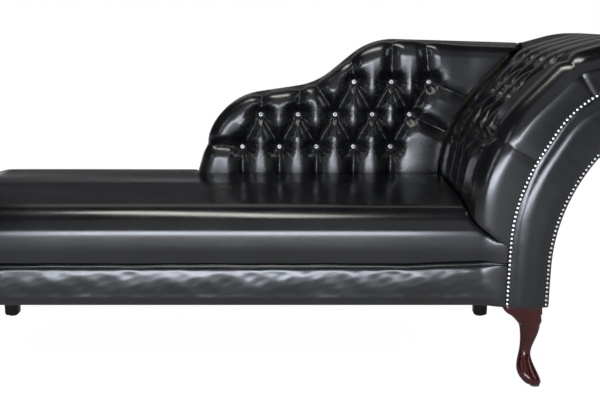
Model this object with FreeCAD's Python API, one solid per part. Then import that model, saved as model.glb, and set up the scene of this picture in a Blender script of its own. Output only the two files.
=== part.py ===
import FreeCAD, Part

import math
import os

# Chaise longue: a scrolled, deep-buttoned head end, a deep-buttoned wing along the back, a sprung
# seat, and cabriole front legs. Millimetres. X runs from the foot end to the head end, Y from the
# open side to the wing, and Z is up. The origin is on the floor under the middle of the whole.

Vector = FreeCAD.Vector
ORIGIN = Vector(0, 0, 0)
LENGTHWAYS = Vector(1, 0, 0)
DEPTHWAYS = Vector(0, 1, 0)
UP = Vector(0, 0, 1)

# Overall size
overall_length = 1915.0
overall_depth = 708.0
leg_height = 208.0

# Materials by thickness
leather = 2.0
facing_leather = 3.0
canvas = 1.0
rail_wood = 28.0
board_wood = 28.0

# Clearances
soft_gap = 0.4
slip = 0.3
flatness = 1e-7

# Base frame
rail_height = 94.0
band_pad = 4.0
band_lip = 20.0
band_corner = 32.0
facing_step = 15.0
foot_swell = 9.5
cross_rail_count = 2
cross_rail_drop = 28.0
corner_block_side = 95.0
corner_block_height = 45.0

# Seat
seat_thickness = 155.0
seat_edge_drop = 14.0
seat_crown_share = 0.76
seat_corner = 62.0
seat_roll = 68.0
seat_swell = 8.0
seat_swell_height = 42.0
seat_swell_round = 90.0
seat_side_lean = 2.0
seat_foot_fall = 52.0
seat_foot_run = 150.0
seat_foot_round = 380.0
seat_foot_roll = 58.0
seat_padding = 22.0
welt_diameter = 9.0
welt_sides = 10

# Springs under the seat
spring_count = 8
spring_bends = 6
spring_wire = 4.0
spring_width = 46.0
spring_clip = (20.0, 8.0, 12.0)

# Scroll
facing_swell = 8.0
facing_border = 17.0
facing_roll = 30.0
nail_margin = 14.0
lobe_back = 138.0
head_foam_depth = 40.0
head_foam_inset = 20.0
head_rounding = 84.0
head_tack_height = 130.0
head_middle_height = 290.0
head_rail_height = 45.0
outside_seam = 8.0

# Wing
wing_thickness = 154.0
wing_wrap = 30.0
wing_foam_depth = 48.0
wing_rounding = 44.0
wing_rail_width = 44.0
wing_stile_width = 50.0
wing_stile_count = 2
wing_tack_height = 125.0
wing_tack_width = 45.0
wing_post_back = 502.5

# Deep buttoning
button_pitch = 108.0
button_diameter = 12.5
button_rise = 4.5
button_sides = 6
wing_row_rise = 94.0
head_row_rise = 125.0
fold_depth = 20.0
fold_roll = 60.0
dimple_depth = 30.0
dimple_roll = 52.0
dimple_sides = 6
dimple_flats = 1
crest_fold_depth = 13.0
crest_fold_roll = 45.0
crest_fold_steps = 5
crest_fold_run = 330.0
fold_flats = 2
skin_rise = 0.7
crown_steps = 3

# Decorative nails
nail_diameter = 10.2
nail_crown = 4.6
nail_rise = 3.0
nail_pitch = 10.8
nail_inset = 8.0
nail_sides = 5

# Legs
leg_block = 86.0
leg_sides = 14
rear_leg_width = 54.0
rear_leg_round = 13.0
rear_leg_setback = 84.0
foot_leg_setback = 78.0
glide_diameter = 24.0
glide_height = 3.0
fitting_sides = 12
bolt_diameter = 8.0
bolt_in_leg = 45.0
bolt_tail = 3.0
nut_width = 13.0
nut_height = 6.5

# A cabriole leg's sections: share of its height, width, lean to its toe, and squareness
cabriole_sections = [
    (1.0, 86.0, 0.0, 12.0),
    (0.93, 85.0, 1.0, 8.0),
    (0.87, 76.0, 5.0, 5.0),
    (0.81, 62.0, 12.0, 3.6),
    (0.74, 47.0, 17.5, 2.8),
    (0.65, 33.0, 17.0, 2.3),
    (0.52, 24.0, 12.5, 2.0),
    (0.39, 28.0, 12.0, 2.0),
    (0.26, 43.0, 19.0, 2.0),
    (0.14, 53.0, 28.0, 2.0),
    (0.06, 51.0, 32.0, 2.0),
    (0.0, 38.0, 33.0, 2.0),
]

# Places worked out from the sizes
head_x = overall_length / 2
foot_x = -overall_length / 2
front_y = -overall_depth / 2
back_y = overall_depth / 2
base_z = leg_height
rail_bottom = base_z + leather
deck_z = rail_bottom + rail_height
seat_bottom = deck_z + canvas
seat_top = seat_bottom + seat_thickness
facing_y = front_y + facing_swell
board_front_y = facing_y + facing_leather
band_front_y = facing_y + facing_step
rail_front_y = band_front_y + band_pad
rail_inner_y = rail_front_y + rail_wood
rail_back_y = back_y - band_pad
wing_front_y = back_y - wing_thickness
wing_frame_y = rail_back_y - rail_wood
wing_canvas_y = wing_frame_y - canvas
foot_band_x = foot_x + foot_swell
foot_rail_x = foot_band_x + band_pad

# Past every face, for the tools that cut
beyond = overall_length


def at(back, up, radius=0.0):
    """A corner given by its distance back from the head end and up from the frame's underside."""
    return (head_x - back, base_z + up, radius)


# The front nail line and the outer edge of the scroll facing, both from the bottom up
nail_run = [at(456.5, 0), at(449.5, 274, 450), at(280.5, 544, 250), at(lobe_back, 544)]
outer_run = [at(354.5, 0), at(348.5, 257, 440), at(204.5, 417, 100), at(lobe_back, 417)]

# The head pad's outer profile, clockwise from the seat, then back inside the scroll board
head_profile = [
    at(553.5, seat_bottom - base_z),
    at(549.5, 323, 340),
    at(464, 471.5, 400),
    at(327.5, 608, 150),
    at(196.5, 643.5, 300),
    at(0, 643.5, 129),
    at(0, 384.5, 129),
    at(192.5, 384.5),
    at(192.5, 432),
    at(397.5, 232),
    at(412.5, seat_bottom - base_z),
]
head_sides_rounded = [1, 1, 1, 1, 1, 1, 0.15, 0, 0, 0, 0]

# Where the seat's front passes under the head pad, clockwise from the seat's underside
shoulder_profile = [at(600, 0), at(600, 252), at(458, 144), at(458, 0)]
head_skin_corners = 6

# The wing's outline, clockwise from its foot, running on into the head pad
wing_profile = [
    at(1302.5, seat_bottom - base_z),
    at(1193.5, 455, 180),
    at(910.5, 497, 197),
    at(747.5, 628.5, 192),
    at(262.5, 614),
    at(262.5, seat_bottom - base_z),
]
wing_sides_rounded = [1, 1, 1, 1, 0, 0]

# The wing's buttons: the first one's place, and each row's start in pitches and its count
wing_first_button = at(1125.5, 317)
wing_rows = [(0.0, 5), (0.5, 5), (3.0, 3)]

# Folds that leave the wing's outer buttons: row, button, then pitches along and rows up
wing_edge_folds = [
    (0, 0, -1.4, 0.1),
    (1, 0, 0.05, 1.1),
    (1, 1, 0.05, 1.1),
    (1, 2, -0.6, 1.1),
    (2, 0, -0.2, 1.2),
    (2, 1, 0.0, 1.6),
    (2, 2, -0.13, 1.6),
    (2, 2, 1.5, -0.7),
    (1, 4, 1.5, -0.8),
]

# The head pad's buttons: distance of the first row along the profile, rows, columns across
head_first_row = 191.0
head_row_count = 4
head_first_column = 154.0
head_columns = (3, 4, 3, 4)

made = {}


# Outlines

def rounded_edges(corners, closed=True):
    """Lines and tangent arcs that follow (x, z, radius) corners in the plane Y = 0."""
    places = [Vector(x, 0, z) for x, z, radius in corners]
    count = len(places)
    starts = list(places)
    ends = list(places)
    middles = [None] * count
    for index, place in enumerate(places):
        radius = corners[index][2]
        inner = closed or 0 < index < count - 1
        if radius <= 0 or not inner:
            continue
        towards = (places[index - 1] - place).normalize()
        onwards = (places[(index + 1) % count] - place).normalize()
        half = towards.getAngle(onwards) / 2
        reach = radius / math.tan(half)
        bisector = (towards + onwards).normalize()
        starts[index] = place + towards * reach
        ends[index] = place + onwards * reach
        middles[index] = place + bisector * (radius / math.sin(half) - radius)
    edges = []
    for index in range(count):
        if middles[index] is not None:
            edges.append(Part.Arc(starts[index], middles[index], ends[index]).toShape())
        following = (index + 1) % count
        if following == 0 and not closed:
            continue
        if (starts[following] - ends[index]).Length > 0.01:
            edges.append(Part.LineSegment(ends[index], starts[following]).toShape())
    return edges


def shifted(corners, distances, closed=True):
    """The corners with each side moved to its left by its own distance, rounds following."""
    count = len(corners)
    sides = count if closed else count - 1
    if not isinstance(distances, list):
        distances = [distances] * sides
    ways, starts = [], []
    for index in range(sides):
        start = Vector(corners[index][0], 0, corners[index][1])
        following = corners[(index + 1) % count]
        way = (Vector(following[0], 0, following[1]) - start).normalize()
        ways.append(way)
        starts.append(start + Vector(-way.z, 0, way.x) * distances[index])
    result = []
    for index, (x, z, radius) in enumerate(corners):
        if not closed and index == 0:
            result.append((starts[0].x, starts[0].z, 0.0))
            continue
        if not closed and index == count - 1:
            move = Vector(-ways[-1].z, 0, ways[-1].x) * distances[-1]
            result.append((x + move.x, z + move.z, 0.0))
            continue
        before, after = ways[index - 1], ways[index]
        gap = starts[index] - starts[index - 1]
        turn = before.x * after.z - before.z * after.x
        share = (gap.x * after.z - gap.z * after.x) / turn
        place = starts[index - 1] + before * share
        if radius > 0:
            mean = (distances[index - 1] + distances[index]) / 2
            radius -= mean if turn > 0 else -mean
        result.append((place.x, place.z, radius))
    return result


def plate(corners, near_y, far_y):
    """A board of the given outline that fills the depth from near_y to far_y."""
    wire = Part.Wire(rounded_edges(corners))
    wire.translate(DEPTHWAYS * near_y)
    return Part.Face(wire).extrude(DEPTHWAYS * (far_y - near_y))


def cross_plate(corners, near_x, far_x):
    """The same for (y, z, radius) corners, filling the length from near_x to far_x."""
    wire = Part.Wire(rounded_edges(corners))
    wire.rotate(ORIGIN, UP, 90)
    wire.translate(LENGTHWAYS * near_x)
    return Part.Face(wire).extrude(LENGTHWAYS * (far_x - near_x))


def plan_plate(corners, low_z, high_z):
    """The same for (x, y, radius) corners in plan, filling the height from low_z to high_z."""
    wire = Part.Wire(rounded_edges(corners))
    wire.rotate(ORIGIN, LENGTHWAYS, -90)
    wire.translate(UP * low_z)
    return Part.Face(wire).extrude(UP * (high_z - low_z))


def box(low, high):
    """A box between two corners."""
    size = [high[axis] - low[axis] for axis in range(3)]
    return Part.makeBox(size[0], size[1], size[2], Vector(*low))


def crowned(corners, rounded, near_y, far_y, rounding):
    """A plate whose front edge rolls back, its sides drawing in by the shares in rounded."""
    wires = []
    for step in range(crown_steps + 1):
        angle = math.pi / 2 * step / crown_steps
        draw = rounding * (1 - math.sin(angle))
        depth = rounding * (1 - math.cos(angle))
        section = shifted(corners, [-draw * share for share in rounded])
        wire = Part.Wire(rounded_edges(section))
        wire.translate(DEPTHWAYS * (near_y + depth))
        wires.append(wire)
    roll = Part.makeLoft(wires, True, True)
    return roll.fuse(plate(corners, near_y + rounding, far_y)).removeSplitter()


def facetted(rings):
    """A solid of flat facets through rings of points, closed at both ends."""
    faces = [Part.Face(Part.makePolygon(ring + ring[:1])) for ring in (rings[0], rings[-1])]
    for lower, upper in zip(rings, rings[1:]):
        for index in range(len(lower)):
            start, end = lower[index - 1], lower[index]
            over_start, over_end = upper[index - 1], upper[index]
            normal = (end - start).cross(over_start - start).normalize()
            pieces = [[start, end, over_end, over_start]]
            if abs((over_end - start).dot(normal)) > flatness:
                pieces = [[start, end, over_end], [start, over_end, over_start]]
            for piece in pieces:
                faces.append(Part.Face(Part.makePolygon(piece + piece[:1])))
    shell = Part.makeShell(faces)
    shell.sewShape()
    solid = Part.makeSolid(shell)
    return solid if solid.Volume > 0 else solid.reversed()


def level_ring(radius, height, sides):
    """A regular ring of points about Z."""
    turns = [2 * math.pi * side / sides for side in range(sides)]
    return [Vector(radius * math.cos(turn), radius * math.sin(turn), height) for turn in turns]


def post(x, y, low_z, high_z, radius):
    """An upright round fitting, or the hole for one, with flat sides."""
    ring = level_ring(radius, low_z, fitting_sides)
    corners = [place + Vector(x, y, 0) for place in ring]
    return Part.Face(Part.makePolygon(corners + corners[:1])).extrude(UP * (high_z - low_z))


def scroll_outline(inner, outer):
    """The scroll's outline, grown past the nail line by inner and past the outer edge by outer."""
    left = shifted(nail_run, inner, closed=False)
    right = shifted(outer_run, -outer, closed=False)
    left[0] = (left[0][0], base_z, 0.0)
    right[0] = (right[0][0], base_z, 0.0)
    end_radius = (left[-1][1] - right[-1][1]) / 2
    end_x = left[-1][0] + end_radius
    lobe = [(end_x, left[-1][1], end_radius), (end_x, right[-1][1], end_radius)]
    return left[:-1] + lobe + right[-2::-1]


def board_outline(grow=0.0):
    """The wooden scroll board: past the nail line on one side, inside the leather on the other."""
    return scroll_outline(nail_margin + grow, grow - facing_leather)


def behind_nail_line(grow, near_y, far_y):
    """Everything on the head side of the scroll board's seat edge."""
    run = shifted(nail_run, nail_margin + grow, closed=False)
    run[0] = (run[0][0], base_z, 0.0)
    return plate(run + [(beyond, run[-1][1], 0.0), (beyond, base_z, 0.0)], near_y, far_y)


def seat_shoulder(grow=0.0):
    """The space where the seat's front runs on under the head pad, up to the scroll board."""
    corners = shifted(shoulder_profile, [grow] * len(shoulder_profile))
    return plate(corners, -beyond, facing_y + head_rounding + grow)


def head_body(grow=0.0, far_y=rail_back_y):
    """The smooth outer form of the head pad, with its scroll solid, above the seat's shoulder."""
    corners = shifted(head_profile, [grow if share else 0.0 for share in head_sides_rounded])
    body = crowned(corners, head_sides_rounded, facing_y - grow, far_y, head_rounding + grow)
    return body.cut(seat_shoulder(-grow))


def wing_body(grow=0.0, far_y=rail_back_y):
    """The smooth outer form of the wing, running on into the head pad."""
    corners = shifted(wing_profile, [grow if share else 0.0 for share in wing_sides_rounded])
    return crowned(corners, wing_sides_rounded, wing_front_y - grow, far_y, wing_rounding + grow)


def beside(shape, grow):
    """A seat or wing piece with the head pad's space, and all beyond it, taken away."""
    shape = shape.cut(head_body(grow, beyond))
    return shape.cut(behind_nail_line(canvas + slip, -beyond, beyond))


def wing_zone(inset, near_y, far_y):
    """The wing's outline drawn in by inset, as a plate: the space of its frame and foam."""
    corners = shifted(wing_profile, [-inset if share else 0.0 for share in wing_sides_rounded])
    low = [(x, deck_z if z < seat_bottom + slip else z, radius) for x, z, radius in corners]
    return plate(low, near_y, far_y)


def export(name, shapes):
    """Write one sub-part, or a group of like ones, to its file."""
    shapes = shapes if isinstance(shapes, list) else [shapes]
    solids = [solid for shape in shapes for solid in shape.Solids]
    whole = solids[0] if len(solids) == 1 else Part.makeCompound(solids)
    if not whole.isValid():
        print("not valid:", name)
    whole.exportStep(os.path.join("parts", name + ".step"))
    made[name] = whole


# Base frame

board_x = board_outline()[0][0]
outer_board_x = board_outline()[-1][0]


def base_plan(inset, end_x=board_x):
    """The base's plan, square at the head end, drawn in from the leather band's face."""
    corner = max(band_corner - inset, slip)
    return [
        (foot_band_x + inset, band_front_y + inset, corner),
        (foot_band_x + inset, back_y - inset, corner),
        (end_x, back_y - inset, 0.0),
        (end_x, band_front_y + inset, 0.0),
    ]


def make_rails():
    """The four rails of the base, and the cross rails between front and back."""
    outline = plan_plate(base_plan(band_pad), rail_bottom, deck_z)
    inner_x = foot_rail_x + rail_wood
    front = box((foot_rail_x, rail_front_y, rail_bottom), (board_x, rail_inner_y, deck_z))
    back = box((foot_rail_x, wing_frame_y, rail_bottom), (board_x, rail_back_y, deck_z))
    export("front_rail", front.common(outline))
    export("back_rail", back.common(outline))
    export("foot_rail", box((foot_rail_x, rail_inner_y, rail_bottom), (inner_x, wing_frame_y, deck_z)))
    low = (outer_board_x - rail_wood, board_front_y + board_wood, rail_bottom)
    export("head_rail", box(low, (outer_board_x, wing_frame_y, deck_z)))
    span = (board_x - foot_rail_x) / (cross_rail_count + 1)
    for index in range(cross_rail_count):
        middle = foot_rail_x + span * (index + 1)
        low = (middle - rail_wood / 2, rail_inner_y, rail_bottom)
        high = (middle + rail_wood / 2, wing_frame_y, deck_z - cross_rail_drop)
        export("cross_rail_%d" % (index + 1), box(low, high))


def leg_places():
    """Where the four legs stand, as X, Y and the way along X that a front leg's toe points."""
    head_leg_x = nail_run[0][0] + facing_leather * 2 + leg_block / 2
    foot_leg_x = foot_x + foot_leg_setback
    front_leg_y = band_front_y + leg_block / 2
    rear_leg_y = back_y - rear_leg_setback
    return {
        "front_head_leg": (head_leg_x, front_leg_y, 1),
        "front_foot_leg": (foot_leg_x, front_leg_y, -1),
        "rear_head_leg": (head_leg_x, rear_leg_y, 1),
        "rear_foot_leg": (foot_leg_x, rear_leg_y, -1),
    }


def make_corner_blocks():
    """A block above each leg, glued into the corner and drilled for the leg's bolt."""
    head_low_y = board_front_y + board_wood
    head_span = (board_x, outer_board_x - rail_wood)
    foot_span = (foot_rail_x + rail_wood, foot_rail_x + rail_wood + corner_block_side)
    rear_span = (wing_frame_y - corner_block_side, wing_frame_y)
    spans = {
        "front_head_leg": (head_span, (head_low_y, head_low_y + corner_block_side)),
        "rear_head_leg": (head_span, rear_span),
        "front_foot_leg": (foot_span, (rail_inner_y, rail_inner_y + corner_block_side)),
        "rear_foot_leg": (foot_span, rear_span),
    }
    blocks = []
    top_z = rail_bottom + corner_block_height
    for name, (x, y, toe) in leg_places().items():
        (low_x, high_x), (low_y, high_y) = spans[name]
        block = box((low_x, low_y, rail_bottom), (high_x, high_y, top_z))
        blocks.append(block.cut(post(x, y, rail_bottom, top_z, bolt_diameter / 2 + slip)))
    export("corner_blocks", blocks)


# Scroll frame and wing frame

def nail_line_x(height):
    """The scroll board's seat edge at a height above the frame's underside."""
    edges = rounded_edges(shifted(nail_run, nail_margin, closed=False), closed=False)
    level = Part.LineSegment(Vector(foot_x, 0, base_z + height), Vector(head_x, 0, base_z + height))
    places = []
    for edge in edges:
        gap, pairs, info = edge.distToShape(level.toShape())
        if gap < 0.01:
            places.append(pairs[0][0].x)
    return min(places)


def make_scroll_frame():
    """The two shaped boards of the head end and the rails that tie them."""
    export("front_scroll_board", plate(board_outline(), board_front_y, board_front_y + board_wood))
    export("rear_scroll_board", plate(board_outline(), wing_frame_y, rail_back_y))
    near_y, far_y = board_front_y + board_wood, wing_frame_y
    inside = plate(board_outline(), near_y, far_y)
    for name, low in (("head_tack_rail", head_tack_height), ("head_middle_rail", head_middle_height)):
        high = low + head_rail_height
        edge_x = max(nail_line_x(low), nail_line_x(high))
        export(name, box((edge_x, near_y, base_z + low), (edge_x + rail_wood, far_y, base_z + high)))
    low_x = head_x - lobe_back - rail_wood
    high_x = head_x - lobe_back + rail_wood
    top_z = nail_run[-1][1] + nail_margin
    under_z = outer_run[-1][1] + facing_leather
    crest = box((low_x, near_y, top_z - rail_wood), (high_x, far_y, top_z))
    under = box((low_x, near_y, under_z), (high_x, far_y, under_z + rail_wood))
    export("crest_rail", crest.common(inside))
    export("under_roll_rail", under.common(inside))


def make_wing_frame():
    """The wing's curved top rail, its post against the rear scroll board, stiles and tack rail."""
    outer = wing_zone(wing_wrap, wing_frame_y, rail_back_y)
    inner = wing_zone(wing_wrap + wing_rail_width, wing_frame_y, rail_back_y)
    post_x = head_x - wing_post_back
    head_side = box((post_x, wing_frame_y, base_z), (head_x, rail_back_y, beyond))
    export("wing_top_rail", outer.cut(inner).cut(head_side))
    post = outer.common(head_side).cut(behind_nail_line(slip, wing_frame_y, rail_back_y))
    export("wing_post", post)
    opening = inner.cut(head_side)
    low_z = base_z + wing_tack_height
    tack = box((foot_x, wing_frame_y, low_z), (head_x, wing_frame_y + rail_wood / 2, low_z + wing_tack_width))
    export("wing_tack_rail", opening.common(tack))
    low_x = opening.BoundBox.XMin
    span = (post_x - low_x) / (wing_stile_count + 1)
    for index in range(wing_stile_count):
        middle = low_x + span * (index + 1)
        low = (middle - wing_stile_width / 2, wing_frame_y, deck_z)
        high = (middle + wing_stile_width / 2, rail_back_y, beyond)
        export("wing_stile_%d" % (index + 1), opening.common(box(low, high)).cut(tack))


# Springs and canvas

def zigzag(middle_x, near_y, far_y):
    """One zigzag spring, flat, from the front rail to the back rail."""
    half_wire = spring_wire / 2
    reach = spring_width / 2 - half_wire
    pitch = (far_y - near_y) / spring_bends
    centre = [(middle_x, near_y)]
    for index in range(spring_bends):
        side = reach if index % 2 else -reach
        middle_y = near_y + pitch * (index + 0.5)
        centre.append((middle_x + side, middle_y - pitch / 4))
        centre.append((middle_x + side, middle_y + pitch / 4))
    centre.append((middle_x, far_y))
    corners = [(x, y, 0.0) for x, y in centre]
    left = shifted(corners, half_wire, closed=False)
    right = shifted(corners, -half_wire, closed=False)
    spring = plan_plate(left + right[::-1], deck_z - spring_wire, deck_z)
    return spring.common(box((-beyond, near_y, 0), (beyond, far_y, deck_z)))


def make_springs():
    """Zigzag springs across the seat, each held in a clip at either rail."""
    clip_x, clip_y, clip_z = spring_clip
    springs, clips = [], []
    first_x = foot_rail_x + rail_wood + spring_width
    last_x = board_x - spring_width
    for index in range(spring_count):
        x = first_x + (last_x - first_x) * index / (spring_count - 1)
        springs.append(zigzag(x, rail_inner_y + clip_y, wing_frame_y - clip_y))
        for low_y in (rail_inner_y, wing_frame_y - clip_y):
            low = (x - clip_x / 2, low_y, deck_z - clip_z)
            clips.append(box(low, (x + clip_x / 2, low_y + clip_y, deck_z)))
    export("seat_springs", springs)
    export("spring_clips", clips)


def make_canvases():
    """The canvas over the springs, behind the wing's foam and behind the head's foam."""
    seat = box((foot_rail_x, rail_front_y, deck_z), (board_x, rail_back_y, seat_bottom))
    seat = seat.common(plan_plate(base_plan(band_pad), deck_z, seat_bottom))
    seat = seat.cut(wing_zone(wing_wrap - slip, wing_canvas_y - slip, back_y))
    export("seat_canvas", seat)
    wing = wing_zone(wing_wrap, wing_canvas_y, wing_frame_y)
    export("wing_canvas", beside(wing, soft_gap))
    near_y, far_y = board_front_y, wing_canvas_y
    head = plate(scroll_outline(nail_margin + canvas, -facing_leather), near_y, far_y)
    head = head.cut(plate(board_outline(), near_y, far_y))
    export("head_canvas", head.cut(below_roll(near_y, far_y)).cut(below_deck(near_y, far_y)))


def below_roll(near_y, far_y):
    """The space under the middle of the roll, on the outside of the scroll."""
    middle_z = (nail_run[-1][1] + outer_run[-1][1]) / 2
    low_x = head_x - lobe_back - nail_margin
    return box((low_x, near_y, base_z), (head_x + board_wood, far_y, middle_z))


def below_deck(near_y, far_y):
    """The space of the base frame, under the head pad."""
    return box((foot_x, near_y, 0), (head_x + board_wood, far_y, seat_bottom))


# Deep buttoning

def arc_fall(drop, roll):
    """How wide an arc of radius roll is by the time that it has fallen by drop."""
    return math.sqrt(roll * roll - (roll - drop) ** 2)


def fold_ring(place, way, normal, depth, roll):
    """A fold's section: two sides rolling in by flats from the skin to a crease at depth."""
    across = way.cross(normal).normalize()
    upright = across.cross(way).normalize()
    width = arc_fall(depth + skin_rise, roll)
    full_turn = math.asin(width / roll)
    side = []
    for step in range(fold_flats + 1):
        turn = full_turn * step / fold_flats
        side.append((width - roll * math.sin(turn), skin_rise - roll * (1 - math.cos(turn))))
    outline = [(-out, height) for out, height in side] + side[-2::-1]
    return [place + across * out + upright * height for out, height in outline]


def fold(start, end, normal, depth=fold_depth, roll=fold_roll):
    """The space that a straight fold takes out of the padding between two places on the skin."""
    ring = fold_ring(start, end - start, normal, depth, roll)
    return facetted([ring, [place + end - start for place in ring]])


def turned(shape, place, normal):
    """A shape made about Z, stood on a place with Z along the normal there."""
    shape.Placement = FreeCAD.Placement(place, FreeCAD.Rotation(UP, normal))
    return shape


def dimple(place, normal):
    """The hollow round a button, with a small floor for it to sit on."""
    floor = button_diameter / 2 + slip * 2
    width = arc_fall(dimple_depth + skin_rise, dimple_roll)
    full_turn = math.asin(width / dimple_roll)
    rings = []
    for step in range(dimple_flats + 1):
        turn = full_turn * step / dimple_flats
        out = floor + width - dimple_roll * math.sin(turn)
        height = skin_rise - dimple_roll * (1 - math.cos(turn))
        rings.append(level_ring(out, height, dimple_sides))
    return turned(facetted(rings), place, normal)


def facetted_dome(diameter, crown, rise, sides, levels):
    """A small dome of flat facets on the plane Z = 0."""
    rings = []
    for level in range(levels + 1):
        share = level / levels
        radius = (diameter + (crown - diameter) * share ** 2) / 2
        rings.append(level_ring(radius, rise * share, sides))
    return facetted(rings)


def button(place, normal):
    """A button seated on the floor of its dimple."""
    dome = facetted_dome(button_diameter, button_diameter / 2, button_rise, button_sides, 2)
    return turned(dome, place - normal * dimple_depth, normal)


def wing_button_places():
    """The wing's buttons, row by row, as places on its face."""
    first_x, first_z, radius = wing_first_button
    rows = []
    for row, (start, count) in enumerate(wing_rows):
        z = first_z + wing_row_rise * row
        places = []
        for column in range(count):
            places.append(Vector(first_x + button_pitch * (start + column), wing_front_y, z))
        rows.append(places)
    return rows


def neighbours(lower, upper):
    """The pairs of buttons in two rows that lie half a pitch apart, which a fold joins."""
    pairs = []
    for place in lower:
        for other in upper:
            if abs(abs(other.x - place.x) - button_pitch / 2) < 1:
                pairs.append((place, other))
    return pairs


def wing_folds():
    """The wing's folds: between buttons, down to the seat, and out over the edge."""
    rows = wing_button_places()
    normal = -DEPTHWAYS
    folds = []
    for lower, upper in zip(rows, rows[1:]):
        for start, end in neighbours(lower, upper):
            folds.append(fold(start, end, normal))
    drop = wing_first_button[1] - seat_bottom
    for place in rows[0]:
        folds.append(fold(place, place - UP * drop, normal))
    for row, column, along, up in wing_edge_folds:
        start = rows[row][column]
        folds.append(fold(start, start + Vector(button_pitch * along, 0, wing_row_rise * up), normal))
    return folds


head_skin = rounded_edges(head_profile[:head_skin_corners], closed=False)


def on_head(distance, y):
    """The place and the outward way at a distance along the head pad's profile."""
    for edge in head_skin:
        if distance <= edge.Length:
            break
        distance -= edge.Length
    parameter = edge.getParameterByLength(distance)
    tangent = edge.tangentAt(parameter)
    return edge.valueAt(parameter) + DEPTHWAYS * y, Vector(-tangent.z, 0, tangent.x)


def head_buttons():
    """The head pad's buttons, row by row, as distance along the profile and Y."""
    rows = []
    for row in range(head_row_count):
        distance = head_first_row + head_row_rise * row
        start = facing_y + head_first_column + (0 if row % 2 else button_pitch / 2)
        rows.append([(distance, start + button_pitch * column) for column in range(head_columns[row])])
    return rows


def head_fold(start, end, depth=fold_depth, roll=fold_roll):
    """A straight fold laid over the head pad's curve between two (distance, Y) spots."""
    start_place, start_normal = on_head(*start)
    end_place, end_normal = on_head(*end)
    middle, normal = on_head((start[0] + end[0]) / 2, (start[1] + end[1]) / 2)
    lift = normal * (middle - (start_place + end_place) / 2).dot(normal)
    return fold(start_place + lift, end_place + lift, normal, depth, roll)


def crest_fold(distance, y):
    """A fold that runs from a spot on the head pad over the crest and dies out on the roll."""
    shares = [step / crest_fold_steps for step in range(crest_fold_steps + 1)]
    places = [on_head(distance + crest_fold_run * share, y) for share in shares]
    rings = []
    for index, (place, normal) in enumerate(places):
        before, after = places[max(index - 1, 0)][0], places[min(index + 1, crest_fold_steps)][0]
        depth = crest_fold_depth * (1 - shares[index])
        rings.append(fold_ring(place, after - before, normal, depth, crest_fold_roll))
    return facetted(rings)


def head_folds():
    """The head pad's folds: between buttons, to the seat, over the crest and to the front edge."""
    rows = head_buttons()
    folds = []
    for lower, upper in zip(rows, rows[1:]):
        for start in lower:
            for end in upper:
                if abs(abs(start[1] - end[1]) - button_pitch / 2) < 1:
                    folds.append(head_fold(start, end))
    for distance, y in rows[0]:
        folds.append(head_fold((distance, y), (slip, y)))
    for distance, y in rows[-1]:
        folds.append(crest_fold(distance, y))
    for row in rows[1::2]:
        distance, y = row[0]
        reach = (distance + head_row_rise * 0.1, facing_y)
        folds.append(head_fold((distance, y), reach, crest_fold_depth, crest_fold_roll))
    return folds


def tufted(body, folds, spots):
    """Padding with its folds and the hollows round its buttons sunk in."""
    for cutter in folds:
        body = body.cut(cutter)
    for place, normal in spots:
        body = body.cut(dimple(place, normal))
    return body


def make_wing():
    """The wing's foam, its buttoned cover wrapped over the frame, and its buttons."""
    foam_y = wing_canvas_y - wing_foam_depth
    foam = wing_zone(wing_wrap, foam_y, wing_canvas_y).cut(below_deck(foam_y, wing_canvas_y))
    export("wing_foam", beside(foam, soft_gap))
    cover = wing_body().cut(wing_zone(wing_wrap - soft_gap, foam_y - soft_gap, back_y))
    cover = beside(cover, soft_gap)
    spots = [(place, -DEPTHWAYS) for row in wing_button_places() for place in row]
    export("wing_cover", tufted(cover, wing_folds(), spots))
    export("wing_buttons", [button(place, normal) for place, normal in spots])


def make_head():
    """The head pad's foam, its buttoned cover wrapped round the scroll, and its buttons."""
    inner = nail_margin + canvas
    near_y, far_y = board_front_y + head_foam_inset, wing_canvas_y - soft_gap
    hidden = below_roll(near_y, far_y).fuse(below_deck(near_y, far_y))
    foam = plate(scroll_outline(inner + head_foam_depth, -facing_leather), near_y, far_y)
    foam = foam.cut(plate(scroll_outline(inner + slip, -facing_leather), near_y, far_y))
    export("head_foam", foam.cut(hidden).cut(seat_shoulder(soft_gap)))
    space = plate(
        scroll_outline(inner + head_foam_depth + soft_gap, -facing_leather),
        near_y - soft_gap,
        far_y + soft_gap,
    )
    board = plate(scroll_outline(inner + soft_gap, soft_gap), board_front_y - slip, back_y)
    facing = plate(scroll_outline(slip, slip), front_y, board_front_y)
    frame = wing_zone(wing_wrap - soft_gap, wing_canvas_y - soft_gap, back_y)
    space = space.cut(seat_shoulder(0.0))
    cover = head_body().cut(space.cut(below_roll(near_y, back_y))).cut(board).cut(facing).cut(frame)
    spots = [on_head(distance, y) for row in head_buttons() for distance, y in row]
    export("head_cover", tufted(cover, head_folds(), spots))
    export("head_buttons", [button(place, normal) for place, normal in spots])


# Seat, bands and welt

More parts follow.
